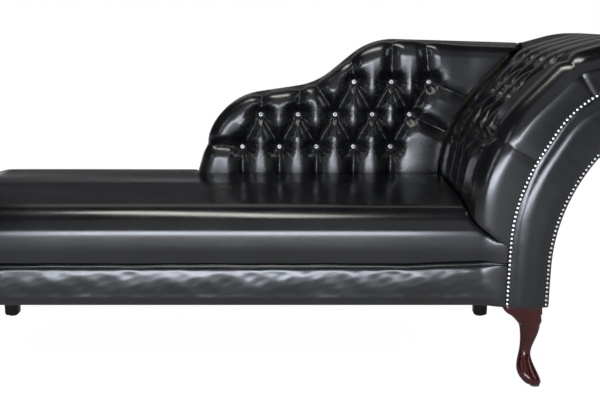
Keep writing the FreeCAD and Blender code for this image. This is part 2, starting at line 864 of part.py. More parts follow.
def seat_body(grow=0.0):
    """The seat's outer form: crowned across, swelling at its sides, rolled and falling at the foot."""
    bulge_z = seat_bottom + seat_swell_height
    edge_z = seat_top - seat_edge_drop
    half_width = (back_y - band_front_y + seat_swell - seat_side_lean) / 2
    crown_round = seat_crown_share * half_width ** 2 / seat_edge_drop
    across = [
        (band_front_y, seat_bottom, 0.0),
        (band_front_y - seat_swell, bulge_z, seat_swell_round),
        (band_front_y - seat_swell + seat_side_lean, edge_z, seat_roll),
        ((band_front_y + back_y) / 2, seat_top, crown_round),
        (back_y, edge_z, seat_roll),
        (back_y, bulge_z, seat_swell_round),
        (rail_back_y, seat_bottom, 0.0),
    ]
    along = [
        (foot_band_x, seat_bottom, 0.0),
        (foot_x, bulge_z, seat_swell_round),
        (foot_x, seat_top - seat_foot_fall, seat_foot_roll),
        (foot_x + seat_foot_run, seat_top, seat_foot_round),
        (head_x - lobe_back, seat_top, 0.0),
        (head_x - lobe_back, seat_bottom, 0.0),
    ]
    across = shifted(across, [grow] * (len(across) - 1) + [0.0])
    along = shifted(along, [grow] * (len(along) - 2) + [0.0, 0.0])
    plan = [
        (foot_x - grow, band_front_y - seat_swell - grow, seat_corner + grow),
        (foot_x - grow, back_y + grow, seat_corner + grow),
        (board_x, back_y + grow, 0.0),
        (board_x, band_front_y - seat_swell - grow, 0.0),
    ]
    body = cross_plate(across, -beyond, beyond)
    body = body.common(plate(along, -beyond, beyond))
    return body.common(plan_plate(plan, seat_bottom, beyond))


def make_seat():
    """The seat's foam and the leather cover sewn round it."""
    floor = box((-beyond, -beyond, 0), (beyond, beyond, seat_bottom + leather))

    def between(grow, gap):
        return beside(seat_body(grow), gap).cut(wing_body(gap, beyond))

    export("seat_foam", between(-seat_padding, seat_padding).cut(floor))
    space = between(soft_gap - seat_padding, seat_padding - soft_gap).cut(floor)
    export("seat_cover", between(0.0, soft_gap).cut(space).cut(welt(slip)))


def band_pieces(whole):
    """A run round the base cut into its front, foot and back pieces."""
    seam_x = foot_band_x + band_corner
    wing_foot_x = wing_profile[0][0]
    front = box((seam_x, -beyond, 0), (beyond, 0, beyond))
    foot = box((-beyond, -beyond, 0), (seam_x, beyond, beyond))
    back = box((seam_x, 0, 0), (wing_foot_x, beyond, beyond))
    return {"front": whole.common(front), "foot": whole.common(foot), "back": whole.common(back)}


def welt(grow=0.0):
    """The piping that lies along the seam between the seat and the bands."""
    run = base_plan(-welt_diameter / 2 - slip)
    rear_seam = (run[1][0], back_y - band_corner, 0.0)
    wire = Part.Wire(rounded_edges([run[3], run[0], rear_seam], closed=False))
    wire.rotate(ORIGIN, LENGTHWAYS, -90)
    wire.translate(UP * (seat_bottom + welt_diameter / 4))
    start = wire.Vertexes[0].Point
    ring = level_ring(welt_diameter / 2 + grow, 0, welt_sides)
    corners = [start + Vector(0, place.x, place.y) for place in ring]
    return wire.makePipeShell([Part.makePolygon(corners + corners[:1])], True, False)


def make_bands():
    """The leather bands over the rails, lapped under them, and the welt along their top edge."""
    face = plan_plate(base_plan(0.0), base_z, deck_z)
    face = face.cut(plan_plate(base_plan(band_pad), base_z, deck_z))
    lip = plan_plate(base_plan(band_pad), base_z, rail_bottom)
    lip = lip.cut(plan_plate(base_plan(band_pad + band_lip), base_z, rail_bottom))
    band = face.fuse(lip).removeSplitter()
    for name, piece in band_pieces(band).items():
        export(name + "_band", piece)
    pieces = band_pieces(welt().cut(head_body(soft_gap)))
    export("front_welt", pieces["front"])
    export("foot_welt", pieces["foot"])


def make_outside():
    """The flat outside leathers: the back, the head end under the roll, and the lining below."""
    near_y = rail_back_y
    wing = wing_zone(outside_seam, near_y, back_y)
    head_inset = [-outside_seam if share else 0.0 for share in head_sides_rounded]
    head = plate(shifted(head_profile, head_inset), near_y, back_y)
    scroll = plate(board_outline(), near_y, back_y)
    base = box((wing_profile[0][0], near_y, base_z), (outer_board_x, back_y, deck_z))
    wing = wing.cut(behind_nail_line(0, near_y, back_y))
    export("outside_back", wing.fuse(head).fuse(scroll).fuse(base).removeSplitter())
    skin = plate(scroll_outline(0, 0), board_front_y, back_y)
    skin = skin.cut(plate(scroll_outline(0, -facing_leather), board_front_y, back_y))
    skin = skin.cut(box((foot_x, front_y, head_profile[7][1]), (head_x, back_y, beyond)))
    export("outside_head", skin)
    lining = plan_plate(base_plan(band_pad + band_lip, outer_board_x), base_z, rail_bottom)
    for near_y, far_y in ((-beyond, board_front_y + board_wood), (wing_frame_y, beyond)):
        lining = lining.cut(box((board_x, near_y, base_z), (beyond, far_y, rail_bottom)))
    for x, y, toe in leg_places().values():
        lining = lining.cut(post(x, y, base_z, rail_bottom, bolt_diameter / 2 + slip))
    export("under_lining", lining)


# Facing and nails

def make_facing():
    """The padded leather panel on the scroll's front face."""
    flat = plate(scroll_outline(-slip, 0), facing_y, board_front_y)
    pad_outline = scroll_outline(-facing_border, -facing_border - nail_inset)
    wires = []
    steps = 2
    turn = math.acos(1 - facing_swell / facing_roll)
    for step in range(steps + 1):
        angle = turn * step / steps
        draw = facing_roll * (math.sin(turn) - math.sin(turn - angle))
        rise = facing_roll * (math.cos(turn - angle) - math.cos(turn))
        count = len(pad_outline)
        section = shifted(pad_outline, [-draw] * (count - 1) + [0.0])
        wire = Part.Wire(rounded_edges(section))
        wire.translate(DEPTHWAYS * (facing_y - rise))
        wires.append(wire)
    export("front_facing", flat.fuse(Part.makeLoft(wires, True, True)).removeSplitter())
    edge = plate(scroll_outline(nail_margin + leather, 0), facing_y, band_front_y)
    edge = edge.cut(plate(scroll_outline(slip, 0), facing_y, band_front_y))
    edge = edge.cut(plate(board_outline(), board_front_y, band_front_y))
    lining = plate(scroll_outline(nail_margin + canvas, -facing_leather), board_front_y, band_front_y)
    edge = edge.cut(lining.cut(below_deck(board_front_y, band_front_y)))
    low = (foot_x, facing_y, base_z)
    shoulder_top = shoulder_profile[2][1]
    edge = edge.common(box(low, (outer_board_x - facing_leather, band_front_y, shoulder_top)))
    export("facing_return", edge.cut(head_body(slip)))


def nails_along(edges):
    """Close-set nails along a run of edges on the facing."""
    wire = Part.Wire(edges)
    count = int((wire.Length - nail_diameter) // nail_pitch) + 1
    start = (wire.Length - nail_pitch * (count - 1)) / 2
    places = []
    for index in range(count):
        distance = start + nail_pitch * index
        for edge in edges:
            if distance <= edge.Length:
                break
            distance -= edge.Length
        places.append(edge.valueAt(edge.getParameterByLength(distance)))
    nails = []
    for place in places:
        nail = facetted_dome(nail_diameter, nail_crown, nail_rise, nail_sides, 1)
        nails.append(turned(nail, place + DEPTHWAYS * facing_y, -DEPTHWAYS))
    return nails


def make_nails():
    """The two rows of nails that edge the facing; the inner row goes on round the roll's end."""
    outline = scroll_outline(0, -nail_inset)
    lobe = len(nail_run) - 1
    inner = rounded_edges(outline[:lobe + 2] + [(nail_run[-1][0], outline[lobe + 1][1], 0.0)], closed=False)
    outer = rounded_edges(shifted(outer_run, nail_inset, closed=False), closed=False)
    export("inner_nails", nails_along(inner))
    export("outer_nails", nails_along(outer))


# Legs

def leg_ring(x, y, z, width, squareness):
    """A level ring of points, from a circle at squareness 2 towards a square at higher values."""
    ring = []
    for side in range(leg_sides):
        turn = 2 * math.pi * (side + 0.5) / leg_sides
        along, across = math.cos(turn), math.sin(turn)
        size = (abs(along) ** squareness + abs(across) ** squareness) ** (1 / squareness)
        ring.append(Vector(x + width / 2 * along / size, y + width / 2 * across / size, z))
    return ring


def make_legs():
    """Cabriole legs in front and plain block legs behind, with bolts, nuts and glides."""
    bolts, nuts, glides = [], [], []
    top_z = rail_bottom + corner_block_height
    for name, (x, y, toe) in leg_places().items():
        if name.startswith("front"):
            rings = []
            for share, width, lean, squareness in cabriole_sections:
                height = glide_height + (leg_height - glide_height) * share
                rings.append(leg_ring(x + lean * toe, y - lean, height, width, squareness))
            leg = facetted(rings)
            foot = (x + lean * toe, y - lean)
        else:
            leg = rear_leg(x, y)
            foot = (x, y)
        bolt_low = leg_height - bolt_in_leg
        export(name, leg.cut(post(x, y, bolt_low, leg_height, bolt_diameter / 2 + slip)))
        bolt_high = top_z + nut_height + bolt_tail
        bolts.append(post(x, y, bolt_low + slip, bolt_high, bolt_diameter / 2))
        nuts.append(hexagon_nut(x, y, top_z))
        glides.append(post(*foot, 0, glide_height, glide_diameter / 2))
    export("leg_bolts", bolts)
    export("leg_nuts", nuts)
    export("glides", glides)


def rear_leg(x, y):
    """A square block leg with its lower edges rounded over."""
    half = rear_leg_width / 2
    low = (x - half, y - half, glide_height)
    block = box(low, (x + half, y + half, leg_height))
    lower_edges = [edge for edge in block.Edges if edge.BoundBox.ZMax < glide_height + slip]
    return block.makeFillet(rear_leg_round, lower_edges)


def hexagon_nut(x, y, z):
    """A hexagon nut on a bolt."""
    corners = [place + Vector(x, y, 0) for place in level_ring(nut_width / math.sqrt(3), z, 6)]
    nut = Part.Face(Part.makePolygon(corners + corners[:1])).extrude(UP * nut_height)
    return nut.cut(post(x, y, z, z + nut_height, bolt_diameter / 2 + slip))


os.makedirs("parts", exist_ok=True)
make_rails()
make_corner_blocks()
make_scroll_frame()
make_wing_frame()
make_springs()
make_canvases()
make_wing()
make_head()
make_seat()
make_bands()
make_outside()
make_facing()
make_nails()
make_legs()

whole = Part.makeCompound(list(made.values())).optimalBoundingBox(False)
for low, high in ((whole.XMin, whole.XMax), (whole.YMin, whole.YMax), (whole.ZMin, whole.ZMax)):
    print("from", round(low, 2), "to", round(high, 2))
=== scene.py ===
"""Chaise longue: deep-buttoned black leather, bright nails and polished legs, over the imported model."""

import math
from typing import NamedTuple

import bmesh
import bpy
import numpy as np
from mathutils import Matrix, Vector


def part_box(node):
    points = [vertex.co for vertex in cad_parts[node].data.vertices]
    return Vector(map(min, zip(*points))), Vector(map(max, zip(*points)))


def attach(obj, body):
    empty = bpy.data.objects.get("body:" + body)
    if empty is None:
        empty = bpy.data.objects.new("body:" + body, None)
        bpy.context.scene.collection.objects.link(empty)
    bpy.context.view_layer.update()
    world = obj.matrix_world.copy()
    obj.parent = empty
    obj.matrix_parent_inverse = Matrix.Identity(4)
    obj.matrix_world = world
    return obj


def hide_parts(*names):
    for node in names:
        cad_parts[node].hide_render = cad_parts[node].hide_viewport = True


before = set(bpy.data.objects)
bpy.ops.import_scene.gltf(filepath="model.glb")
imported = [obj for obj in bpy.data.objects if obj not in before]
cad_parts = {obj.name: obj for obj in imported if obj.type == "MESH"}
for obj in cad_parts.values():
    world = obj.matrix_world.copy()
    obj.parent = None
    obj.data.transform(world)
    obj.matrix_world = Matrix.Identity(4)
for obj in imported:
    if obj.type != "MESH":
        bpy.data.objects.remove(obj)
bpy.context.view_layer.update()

bl_info = {
    "name": "Chaise longue",
    "version": (1, 0, 0),
    "blender": (4, 5, 0),
    "location": "3D View > Sidebar > Chaise",
    "description": "Dresses the packed chaise longue in leather, wood and nickel, on a studio floor",
    "category": "Object",
}

MM = 0.001

# The chaise's sizes in metres, as its construction has them
HEAD_X = 0.9575
FOOT_X = -0.9575
BASE_Z = 0.208
DECK_Z = 0.304
SEAT_BOTTOM = 0.305
SEAT_TOP = 0.460
FRONT_Y = -0.354
FACING_Y = -0.346
BOARD_FRONT_Y = -0.343
BAND_FRONT_Y = -0.331
RAIL_BACK_Y = 0.350
BACK_Y = 0.354
WING_FRONT_Y = 0.200
FOOT_BAND_X = -0.948
NAIL_X = 0.501
BASE_END_X = HEAD_X - 0.3575
LOBE_BACK = 138.0

# How edges are rounded
ROUND_STEPS = 9
BACK_ROUND_STEPS = 4
BACK_ROUNDING = 0.012
WING_ROUNDING = 0.044
HEAD_ROUNDING = 0.084
HEAD_FRONT_FLAT = 0.32
FLAT_LEAN = 0.01
BAND_CORNER = 0.032

# Solids that only cut others reach this far, and leave this gap
BEYOND = 0.5
BEYOND_BACK_Y = BACK_Y + 0.02
GAP = 0.0006

# Deep buttoning
BUTTON_PITCH = 0.108
BUTTON_DEPTH = 0.030
DIAMOND_REACH = 0.040
PILLAR_REACH = 0.056
FOLD_BLEND = 0.012
FOLD_CREASE = 0.006
CREASE_SHARE = 0.22
FOLD_FREE = 0.018
HOLLOW_POWER = 2.4
SAG_DEPTH = 0.005
SAG_WIDTH = 0.058
PAD_SMOOTHING = 6

# Domed heads: diameter, sides, and rings of share of the radius and height
BUTTON_RINGS = [(0.97, 0.0012), (0.84, 0.0034), (0.62, 0.0046), (0.40, 0.0042), (0.22, 0.0028), (0.12, 0.0024)]
BUTTON = (0.0152, 16, BUTTON_RINGS)
NAIL = (0.0100, 10, [(0.92, 0.0012), (0.70, 0.0024), (0.42, 0.0031), (0.14, 0.0034)])
NAIL_PITCH = 0.0108
NAIL_INSET = 0.008
FORWARD = (0, -1, 0)

# The ends of seat, band and piping, which come forward on to the scroll board
LEAD_SPAN = (0.440, 0.490)
LEAD_Y = -0.3457
LEAD_RISE = 0.007
LEAD_RISE_START = 0.22
RISE_TOP = 0.350
NOSE_DEPTH = (-0.325, -0.290)
NOSE_HEIGHT = (0.365, 0.410)
SEAT_END_SPAN = (0.462, 0.488)
SEAT_END_REACH = 0.010
PIPING_LEAD = 0.0075


# Outlines


def at(back, up, radius=0.0):
    """A corner given in millimetres back from the head end and up from the frame's underside."""
    return (HEAD_X - back * MM, BASE_Z + up * MM, radius * MM)


NAIL_RUN = [at(456.5, 0), at(449.5, 274, 450), at(280.5, 544, 250), at(LOBE_BACK, 544)]
OUTER_RUN = [at(354.5, 0), at(348.5, 257, 440), at(204.5, 417, 100), at(LOBE_BACK, 417)]
HEAD_PROFILE = [
    at(553.5, 97),
    at(549.5, 323, 340),
    at(464, 471.5, 400),
    at(327.5, 608, 150),
    at(196.5, 643.5, 300),
    at(0, 643.5, 129),
    at(0, 384.5, 129),
    at(192.5, 384.5),
    at(192.5, 432),
    at(397.5, 232),
    at(412.5, 97),
]
HEAD_ROUNDED = [1, 1, 1, 1, 1, 1, 0.15, 0, 0, 0, 0]
SHOULDER = [at(600, 0), at(600, 252), at(446, 135), at(446, 0)]
WING_PROFILE = [
    at(1302.5, 97),
    at(1193.5, 455, 180),
    at(910.5, 497, 197),
    at(747.5, 628.5, 192),
    at(262.5, 614),
    at(262.5, 97),
]
WING_ROUNDED = [1, 1, 1, 1, 0, 0]

# The wing's rows of buttons, as the pitches before the first and the number in the row. Its edge folds run from
# a row and a place in it, over a number of pitches along and of rises up
WING_FIRST_BUTTON = at(1125.5, 317)
WING_ROW_RISE = 0.094
WING_ROWS = [(0.0, 5), (0.5, 5), (3.0, 3)]
WING_EDGE_FOLDS = [
    (0, 0, -1.4, 0.1),
    (1, 0, 0.05, 1.1),
    (1, 1, 0.05, 1.1),
    (1, 2, -0.6, 1.1),
    (2, 0, -0.2, 1.2),
    (2, 1, 0.0, 1.6),
    (2, 2, -0.13, 1.6),
    (2, 2, 1.5, -0.7),
    (1, 4, 1.5, -0.8),
]
HEAD_FIRST_ROW = 0.191
HEAD_ROW_RISE = 0.125
HEAD_FIRST_COLUMN = 0.154
HEAD_COLUMNS = (3, 4, 3, 4)
CREST_FOLD_RUN = 0.330

# Where the buttoning fades and how much of it is left: towards the wing's back in Y, at its rim by the distance
# from it, beside the head in X, where the face also turns back, at the head's front edge, and along its roll
WING_BACK_FADE = (0.255, 0.335)
WING_RIM_FADE = (0.002, 0.030)
WING_RIM_LEAST, WING_RIM_REST = 0.42, 0.58
WING_HEAD_FADE = (0.385, 0.440)
WING_HEAD_LOSS = 0.65
WING_TURN_SPAN = (0.32, 0.50)
WING_TURN_DEPTH = 0.009
HEAD_EDGE_LEAST = 0.12
HEAD_ROLL_FADE = (0.95, 1.10)


def rounded(corners, closed=True, sweep=math.radians(2.5)):
    """Points along an outline with each corner rounded to its own radius."""
    points, count = [], len(corners)
    for index, (x, z, radius) in enumerate(corners):
        here = Vector((x, z))
        if radius <= 0 or (not closed and index in (0, count - 1)):
            points.append(here)
            continue
        before = (Vector(corners[index - 1][:2]) - here).normalized()
        after = (Vector(corners[(index + 1) % count][:2]) - here).normalized()
        half = before.angle(after) / 2
        centre = here + (before + after).normalized() * radius / math.sin(half)
        first = here + before * radius / math.tan(half) - centre
        last = here + after * radius / math.tan(half) - centre
        turn = math.atan2(first.x * last.y - first.y * last.x, first.dot(last))
        steps = max(2, math.ceil(abs(turn) / sweep))
        for step in range(steps + 1):
            angle = turn * step / steps
            cos, sin = math.cos(angle), math.sin(angle)
            points.append(centre + Vector((first.x * cos - first.y * sin, first.x * sin + first.y * cos)))
    return points


def shifted(corners, distances, closed=True):
    """The corners with each side moved to its left by its own distance, rounds following."""
    count = len(corners)
    sides = count if closed else count - 1
    if not isinstance(distances, list):
        distances = [distances] * sides
    ways, starts = [], []
    for index in range(sides):
        start = Vector(corners[index][:2])
        way = (Vector(corners[(index + 1) % count][:2]) - start).normalized()
        ways.append(way)
        starts.append(start + Vector((-way.y, way.x)) * distances[index])
    result = []
    for index, (x, z, radius) in enumerate(corners):
        if not closed and index == 0:
            result.append((starts[0].x, starts[0].y, 0.0))
            continue
        if not closed and index == count - 1:
            move = Vector((-ways[-1].y, ways[-1].x)) * distances[-1]
            result.append((x + move.x, z + move.y, 0.0))
            continue
        before, after = ways[index - 1], ways[index]
        gap = starts[index] - starts[index - 1]
        turn = before.x * after.y - before.y * after.x
        share = (gap.x * after.y - gap.y * after.x) / turn
        place = starts[index - 1] + before * share
        if radius > 0:
            mean = (distances[index - 1] + distances[index]) / 2
            radius -= mean if turn > 0 else -mean
        result.append((place.x, place.y, radius))
    return result


def scroll_outline(inner, outer):
    """The scroll's outline, grown past the nail line by inner and past the outer edge by outer."""
    left = shifted(NAIL_RUN, inner, closed=False)
    right = shifted(OUTER_RUN, -outer, closed=False)
    left[0] = (left[0][0], BASE_Z, 0.0)
    right[0] = (right[0][0], BASE_Z, 0.0)
    end_radius = (left[-1][1] - right[-1][1]) / 2
    end_x = left[-1][0] + end_radius
    lobe = [(end_x, left[-1][1], end_radius), (end_x, right[-1][1], end_radius)]
    return left[:-1] + lobe + right[-2::-1]


def line_of(points):
    """A run of points as an array."""
    return np.array([tuple(point) for point in points])


def lengths_along(points):
    """The distance along a run of points at each of them."""
    steps = np.linalg.norm(np.diff(line_of(points), axis=0), axis=1)
    return np.concatenate([[0.0], np.cumsum(steps)])


def resampled(points, marks):
    """The places at these distances along a run of points."""
    line, along = line_of(points), lengths_along(points)
    return np.stack([np.interp(marks, along, line[:, axis]) for axis in range(2)], axis=1)


def ways_along(places):
    """The unit way on at each place of a run."""
    ways = np.gradient(places, axis=0)
    return ways / np.linalg.norm(ways, axis=1)[:, None]


def spaced(points, pitch):
    """Places evenly spaced along a run of points, with the ends' margins alike."""
    length = lengths_along(points)[-1]
    count = int(length // pitch)
    return resampled(points, (length - pitch * (count - 1)) / 2 + pitch * np.arange(count))


def along_profile(points, places):
    """How far along a profile each place lies, and how far from it."""
    line, along = line_of(points), lengths_along(points)
    gaps = np.full(len(places), np.inf)
    distance = np.zeros(len(places))
    for index in range(len(line) - 1):
        start, run = line[index], line[index + 1] - line[index]
        share = np.clip(((places - start) @ run) / (run @ run), 0, 1)
        gap = np.linalg.norm(places - start - share[:, None] * run, axis=1)
        closer = gap < gaps
        gaps[closer] = gap[closer]
        distance[closer] = along[index] + share[closer] * math.sqrt(run @ run)
    return distance, gaps


def smooth_step(low, high, values):
    """Nought below low, one above high, and an even rise between."""
    share = np.clip((values - low) / (high - low), 0, 1)
    return share * share * (3 - 2 * share)


def waves(places, scale, seed, height, octaves=3):
    """Soft random swells from sums of sines, the same at every run."""
    random = np.random.default_rng(seed)
    total = np.zeros(len(places))
    for octave in range(octaves):
        finer = 1.9 ** octave
        for _ in range(4):
            way = random.normal(size=places.shape[1])
            way /= np.linalg.norm(way)
            phase = random.uniform(0, 2 * math.pi)
            total += np.sin(places @ way * 2 * math.pi / (scale / finer) + phase) / finer
    return total / 5 * height


# Making pieces


def select(pieces):
    """Select these pieces alone, the first of them active."""
    bpy.ops.object.select_all(action="DESELECT")
    for piece in pieces:
        piece.select_set(True)
    bpy.context.view_layer.objects.active = pieces[0]


def added(name, primitive, **settings):
    """A new piece from one of Blender's primitives, with its place and turn applied."""
    bpy.ops.object.select_all(action="DESELECT")
    primitive(**settings)
    piece = bpy.context.object
    piece.name = name
    bpy.ops.object.transform_apply(location=True, rotation=True, scale=True)
    return piece


def joined(name, pieces):
    """One piece made of several."""
    select(pieces)
    bpy.ops.object.join()
    pieces[0].name = name
    return pieces[0]


def stacked(name, rings):
    """A closed piece through rings as long as the first, its two ends capped and its normals facing out."""
    size = len(rings[0])
    last = size * (len(rings) - 1)
    vertices = [tuple(point) for ring in rings for point in ring]
    faces = []
    for low in range(0, last, size):
        for side in range(size):
            following = (side + 1) % size
            faces.append((low + side, low + following, low + size + following, low + size + side))
    faces += [tuple(range(size)), tuple(range(last, last + size))]
    mesh = bpy.data.meshes.new(name)
    mesh.from_pydata(vertices, [], faces)
    mesh.update()
    piece = bpy.data.objects.new(name, mesh)
    bpy.context.scene.collection.objects.link(piece)
    shell = bmesh.new()
    shell.from_mesh(mesh)
    bmesh.ops.recalc_face_normals(shell, faces=shell.faces)
    shell.to_mesh(mesh)
    shell.free()
    return piece


def upright(points, y):
    """An outline's points, stood up at this Y."""
    return [(point.x, y, point.y) for point in points]


def crowned(name, corners, weights, near_y, far_y, round_near, round_far=0.0, grow=0.0, flat=0.0):
    """An outline run from front to back, its edges rounded at the front and at the back."""
    sections = [(round_near, near_y)] if flat else []
    turn = round_near * (1 - flat)
    lean = FLAT_LEAN * round_near * flat
    for step in range(ROUND_STEPS, -1, -1):
        angle = math.pi / 2 * step / ROUND_STEPS
        sections.append((turn * (1 - math.cos(angle)), near_y + lean + turn * (1 - math.sin(angle))))
    if round_far:
        for step in range(1, BACK_ROUND_STEPS + 1):
            angle = math.pi / 2 * step / BACK_ROUND_STEPS
            sections.append((round_far * (1 - math.cos(angle)), far_y - round_far * (1 - math.sin(angle))))
    else:
        sections.append((0.0, far_y))
    rings = []
    for inset, y in sections:
        rings.append(upright(rounded(shifted(corners, [(grow - inset) * weight for weight in weights])), y))
    return stacked(name, rings)


def prism(name, pairs, axis, low, high):
    """A straight prism on an outline of pairs, along one axis."""
    pairs = [tuple(pair)[:2] for pair in pairs]
    return stacked(name, [[(*pair[:axis], depth, *pair[axis:]) for pair in pairs] for depth in (low, high)])


def head_solid(name, far_y, round_far=0.0, grow=0.0):
    """The head pad's smooth form, above the place where the seat's front runs under it."""
    edges = (HEAD_ROUNDING, round_far, grow, HEAD_FRONT_FLAT)
    head = crowned(name, HEAD_PROFILE, HEAD_ROUNDED, FACING_Y, far_y, *edges)
    shoulder = shifted(SHOULDER, -grow)
    return combined(head, prism("shoulder", shoulder, 1, -BEYOND, FACING_Y + HEAD_ROUNDING - grow))


def wing_solid(name, far_y, round_far=0.0, grow=0.0):
    """The wing's smooth form."""
    return crowned(name, WING_PROFILE, WING_ROUNDED, WING_FRONT_Y, far_y, WING_ROUNDING, round_far, grow)


def applied(piece, kind, **settings):
    """Add a modifier with these settings and apply it."""
    select([piece])
    modifier = piece.modifiers.new(kind.title(), kind)
    for name, value in settings.items():
        setattr(modifier, name, value)
    bpy.ops.object.modifier_apply(modifier=modifier.name)
    return piece


def combined(piece, tool, operation="DIFFERENCE"):
    """Cut or keep by another solid, which is then removed."""
    applied(piece, "BOOLEAN", object=tool, operation=operation, solver="MANIFOLD")
    bpy.data.objects.remove(tool)
    return piece


def remeshed(piece, voxel, rounds):
    """Turn a closed form into small even faces and smooth out its steps."""
    applied(piece, "REMESH", mode="VOXEL", voxel_size=voxel)
    return applied(piece, "SMOOTH", factor=0.5, iterations=rounds)


def subdivided(piece, levels=1):
    """Divide a piece's faces smoothly."""
    return applied(piece, "SUBSURF", levels=levels, render_levels=levels)


def vectors_of(items, name):
    """One vector for each item, as an array."""
    values = np.empty(len(items) * 3)
    items.foreach_get(name, values)
    return values.reshape(-1, 3)


def places_of(piece):
    """The piece's vertices as an array."""
    return vectors_of(piece.data.vertices, "co")


def normals_of(piece):
    """The piece's vertex normals as an array."""
    return vectors_of(piece.data.vertex_normals, "vector")


def move_to(piece, places):
    """Put the piece's vertices at these places."""
    piece.data.vertices.foreach_set("co", places.ravel())
    piece.data.update()


def pushed(piece, distances):
    """The piece's vertices as an array, each moved along its normal by its own distance."""
    return places_of(piece) + normals_of(piece) * distances[:, None]


def keep_values(piece, name, columns):
    """Store a vector made of three columns for each vertex, for the materials to read."""
    layer = piece.data.attributes.new(name, "FLOAT_VECTOR", "POINT")
    layer.data.foreach_set("vector", np.column_stack(columns).astype(np.float32).ravel())


def extruded(piece, sections):
    """Draw a flat piece's face out through sections: a move, and a change of size about a centre."""
    bpy.ops.object.mode_set(mode="EDIT")
    bpy.ops.mesh.select_all(action="SELECT")
    for move, factors, centre in sections:
        bpy.ops.mesh.extrude_region_move(TRANSFORM_OT_translate={"value": move})
        bpy.ops.transform.resize(value=factors, center_override=centre)
    bpy.ops.object.mode_set(mode="OBJECT")
    return piece


def faced_out(piece):
    """Turn all of the active piece's faces outward."""
    bpy.ops.object.mode_set(mode="EDIT")
    bpy.ops.mesh.select_all(action="SELECT")
    bpy.ops.mesh.normals_make_consistent(inside=False)
    bpy.ops.object.mode_set(mode="OBJECT")
    return piece


def dome(name, diameter, sides, rings):
    """One nail's or button's head, pointing along -Y, through rings of share of the radius and height."""
    piece = added(
        name,
        bpy.ops.mesh.primitive_circle_add,
        vertices=sides,
        radius=diameter / 2,
        fill_type="NGON",
        rotation=(math.pi / 2, 0, 0),
    )
    sections, climbed, width = [], 0.0, 1.0
    for across, height in rings:
        sections.append(((0, -(height - climbed), 0), (across / width, 1, across / width), (0, -height, 0)))
        climbed, width = height, across
    extruded(piece, sections)
    bpy.ops.object.shade_smooth()
    # The distance from the centre steers the painted highlight and painted shade of the metal finishes.
    places = places_of(piece)
    centre = np.linalg.norm(places[:, [0, 2]], axis=1) / (diameter / 2)
    keep_values(piece, "from_centre", [centre, centre, centre])
    return piece


def copies(name, pattern, places, ways=None):
    """One piece made of copies of a pattern, each with its own mesh, turned to face its way."""
    made = []
    for place, way in zip(places, ways or [FORWARD] * len(places)):
        copy = pattern.copy()
        copy.data = pattern.data.copy()
        bpy.context.scene.collection.objects.link(copy)
        copy.rotation_mode = "QUATERNION"
        copy.rotation_quaternion = Vector(FORWARD).rotation_difference(Vector(way))
        copy.location = place
        made.append(copy)
    bpy.data.objects.remove(pattern)
    select(made)
    bpy.ops.object.transform_apply(location=True, rotation=True, scale=True)
    row = joined(name, made)
    row.data.name = name
    return row


def finished(piece, material, node):
    """Smooth-shade a piece, give it its leather or metal, hang it on the root, and hide the node that it replaces.
    """
    select([piece])
    bpy.ops.object.shade_smooth()
    piece.data.materials.clear()
    piece.data.materials.append(bpy.data.materials[material])
    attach(piece, "root")
    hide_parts(node)


def leathered(piece, node, material="plain_leather"):
    """Finish a piece in black leather, plain unless another leather is named."""
    finished(piece, material, node)


def lead(places):
    """How far the leathers have come on to the scroll board, from nought to one, and their rise there."""
    x = places[:, 0]
    return smooth_step(*LEAD_SPAN, x), LEAD_RISE * smooth_step(LEAD_RISE_START, NAIL_X, x)


# Deep buttoning


class Fold(NamedTuple):
    """A fold on the flat layout, with how deep it is, how far that fades at its end, and how wide it is."""

    start: tuple
    end: tuple
    strength: float = 1.0
    fade: float = 0.0
    reach: float = DIAMOND_REACH


class Buttoning:
    """Buttons and folds laid out flat, and how far they draw the padding in."""

    def __init__(self, layout, form):
        rows, self.folds = layout
        self.buttons = np.array([spot for row in rows for spot in row])
        self.form = form

    def nearest(self, flat):
        """The way from the nearest button to each spot."""
        offsets = flat[:, None, :] - self.buttons[None, :, :]
        closest = np.argmin((offsets ** 2).sum(axis=2), axis=1)
        return offsets[np.arange(len(flat)), closest]

    def depth(self, flat):
        """How deep the padding is drawn in at each spot."""
        form = self.form
        pull = np.zeros(len(flat))
        for fold in self.folds:
            start = np.array(fold.start)
            run = np.array(fold.end) - start
            share = np.clip(((flat - start) @ run) / (run @ run), 0, 1)
            gap = np.linalg.norm(flat - start - share[:, None] * run, axis=1) * form.fold_width / fold.reach
            power = fold.strength * (1 - fold.fade * share)
            pull += power ** 2 * np.exp(-2 * gap / FOLD_BLEND)
        gap = -FOLD_BLEND / 2 * np.log(pull + 1e-12)
        slope = np.clip(1 - gap / form.fold_width, 0, 1.2) ** 2
        crease = np.exp(-np.maximum(gap, 0) / FOLD_CREASE)
        reach = np.linalg.norm(self.nearest(flat), axis=1)
        hollow = BUTTON_DEPTH * np.exp(-((reach / form.dimple_width) ** HOLLOW_POWER))
        fold = form.fold_depth * ((1 - CREASE_SHARE) * slope + CREASE_SHARE * crease)
        fold *= 1 - np.exp(-((reach / FOLD_FREE) ** 2))
        sag = SAG_DEPTH * np.exp(-((reach / SAG_WIDTH) ** 2))
        sag *= 1 - np.exp(-((reach / form.dimple_width) ** 2))
        return (fold ** 3 + hollow ** 3) ** (1 / 3) + sag

    def draw_in(self, piece, flat, depth):
        """Draw a padded skin in by these depths, and store the way to each spot from its nearest button."""
        move_to(piece, pushed(piece, -depth))
        offsets = self.nearest(flat)
        keep_values(piece, "from_button", [offsets, np.zeros(len(flat))])


def diamonds(rows, axis):
    """The folds between each button and its neighbours in the next row."""
    folds = []
    for lower, upper in zip(rows, rows[1:]):
        for start in lower:
            for end in upper:
                if abs(abs(start[axis] - end[axis]) - BUTTON_PITCH / 2) < MM:
                    folds.append(Fold(start, end))
    return folds


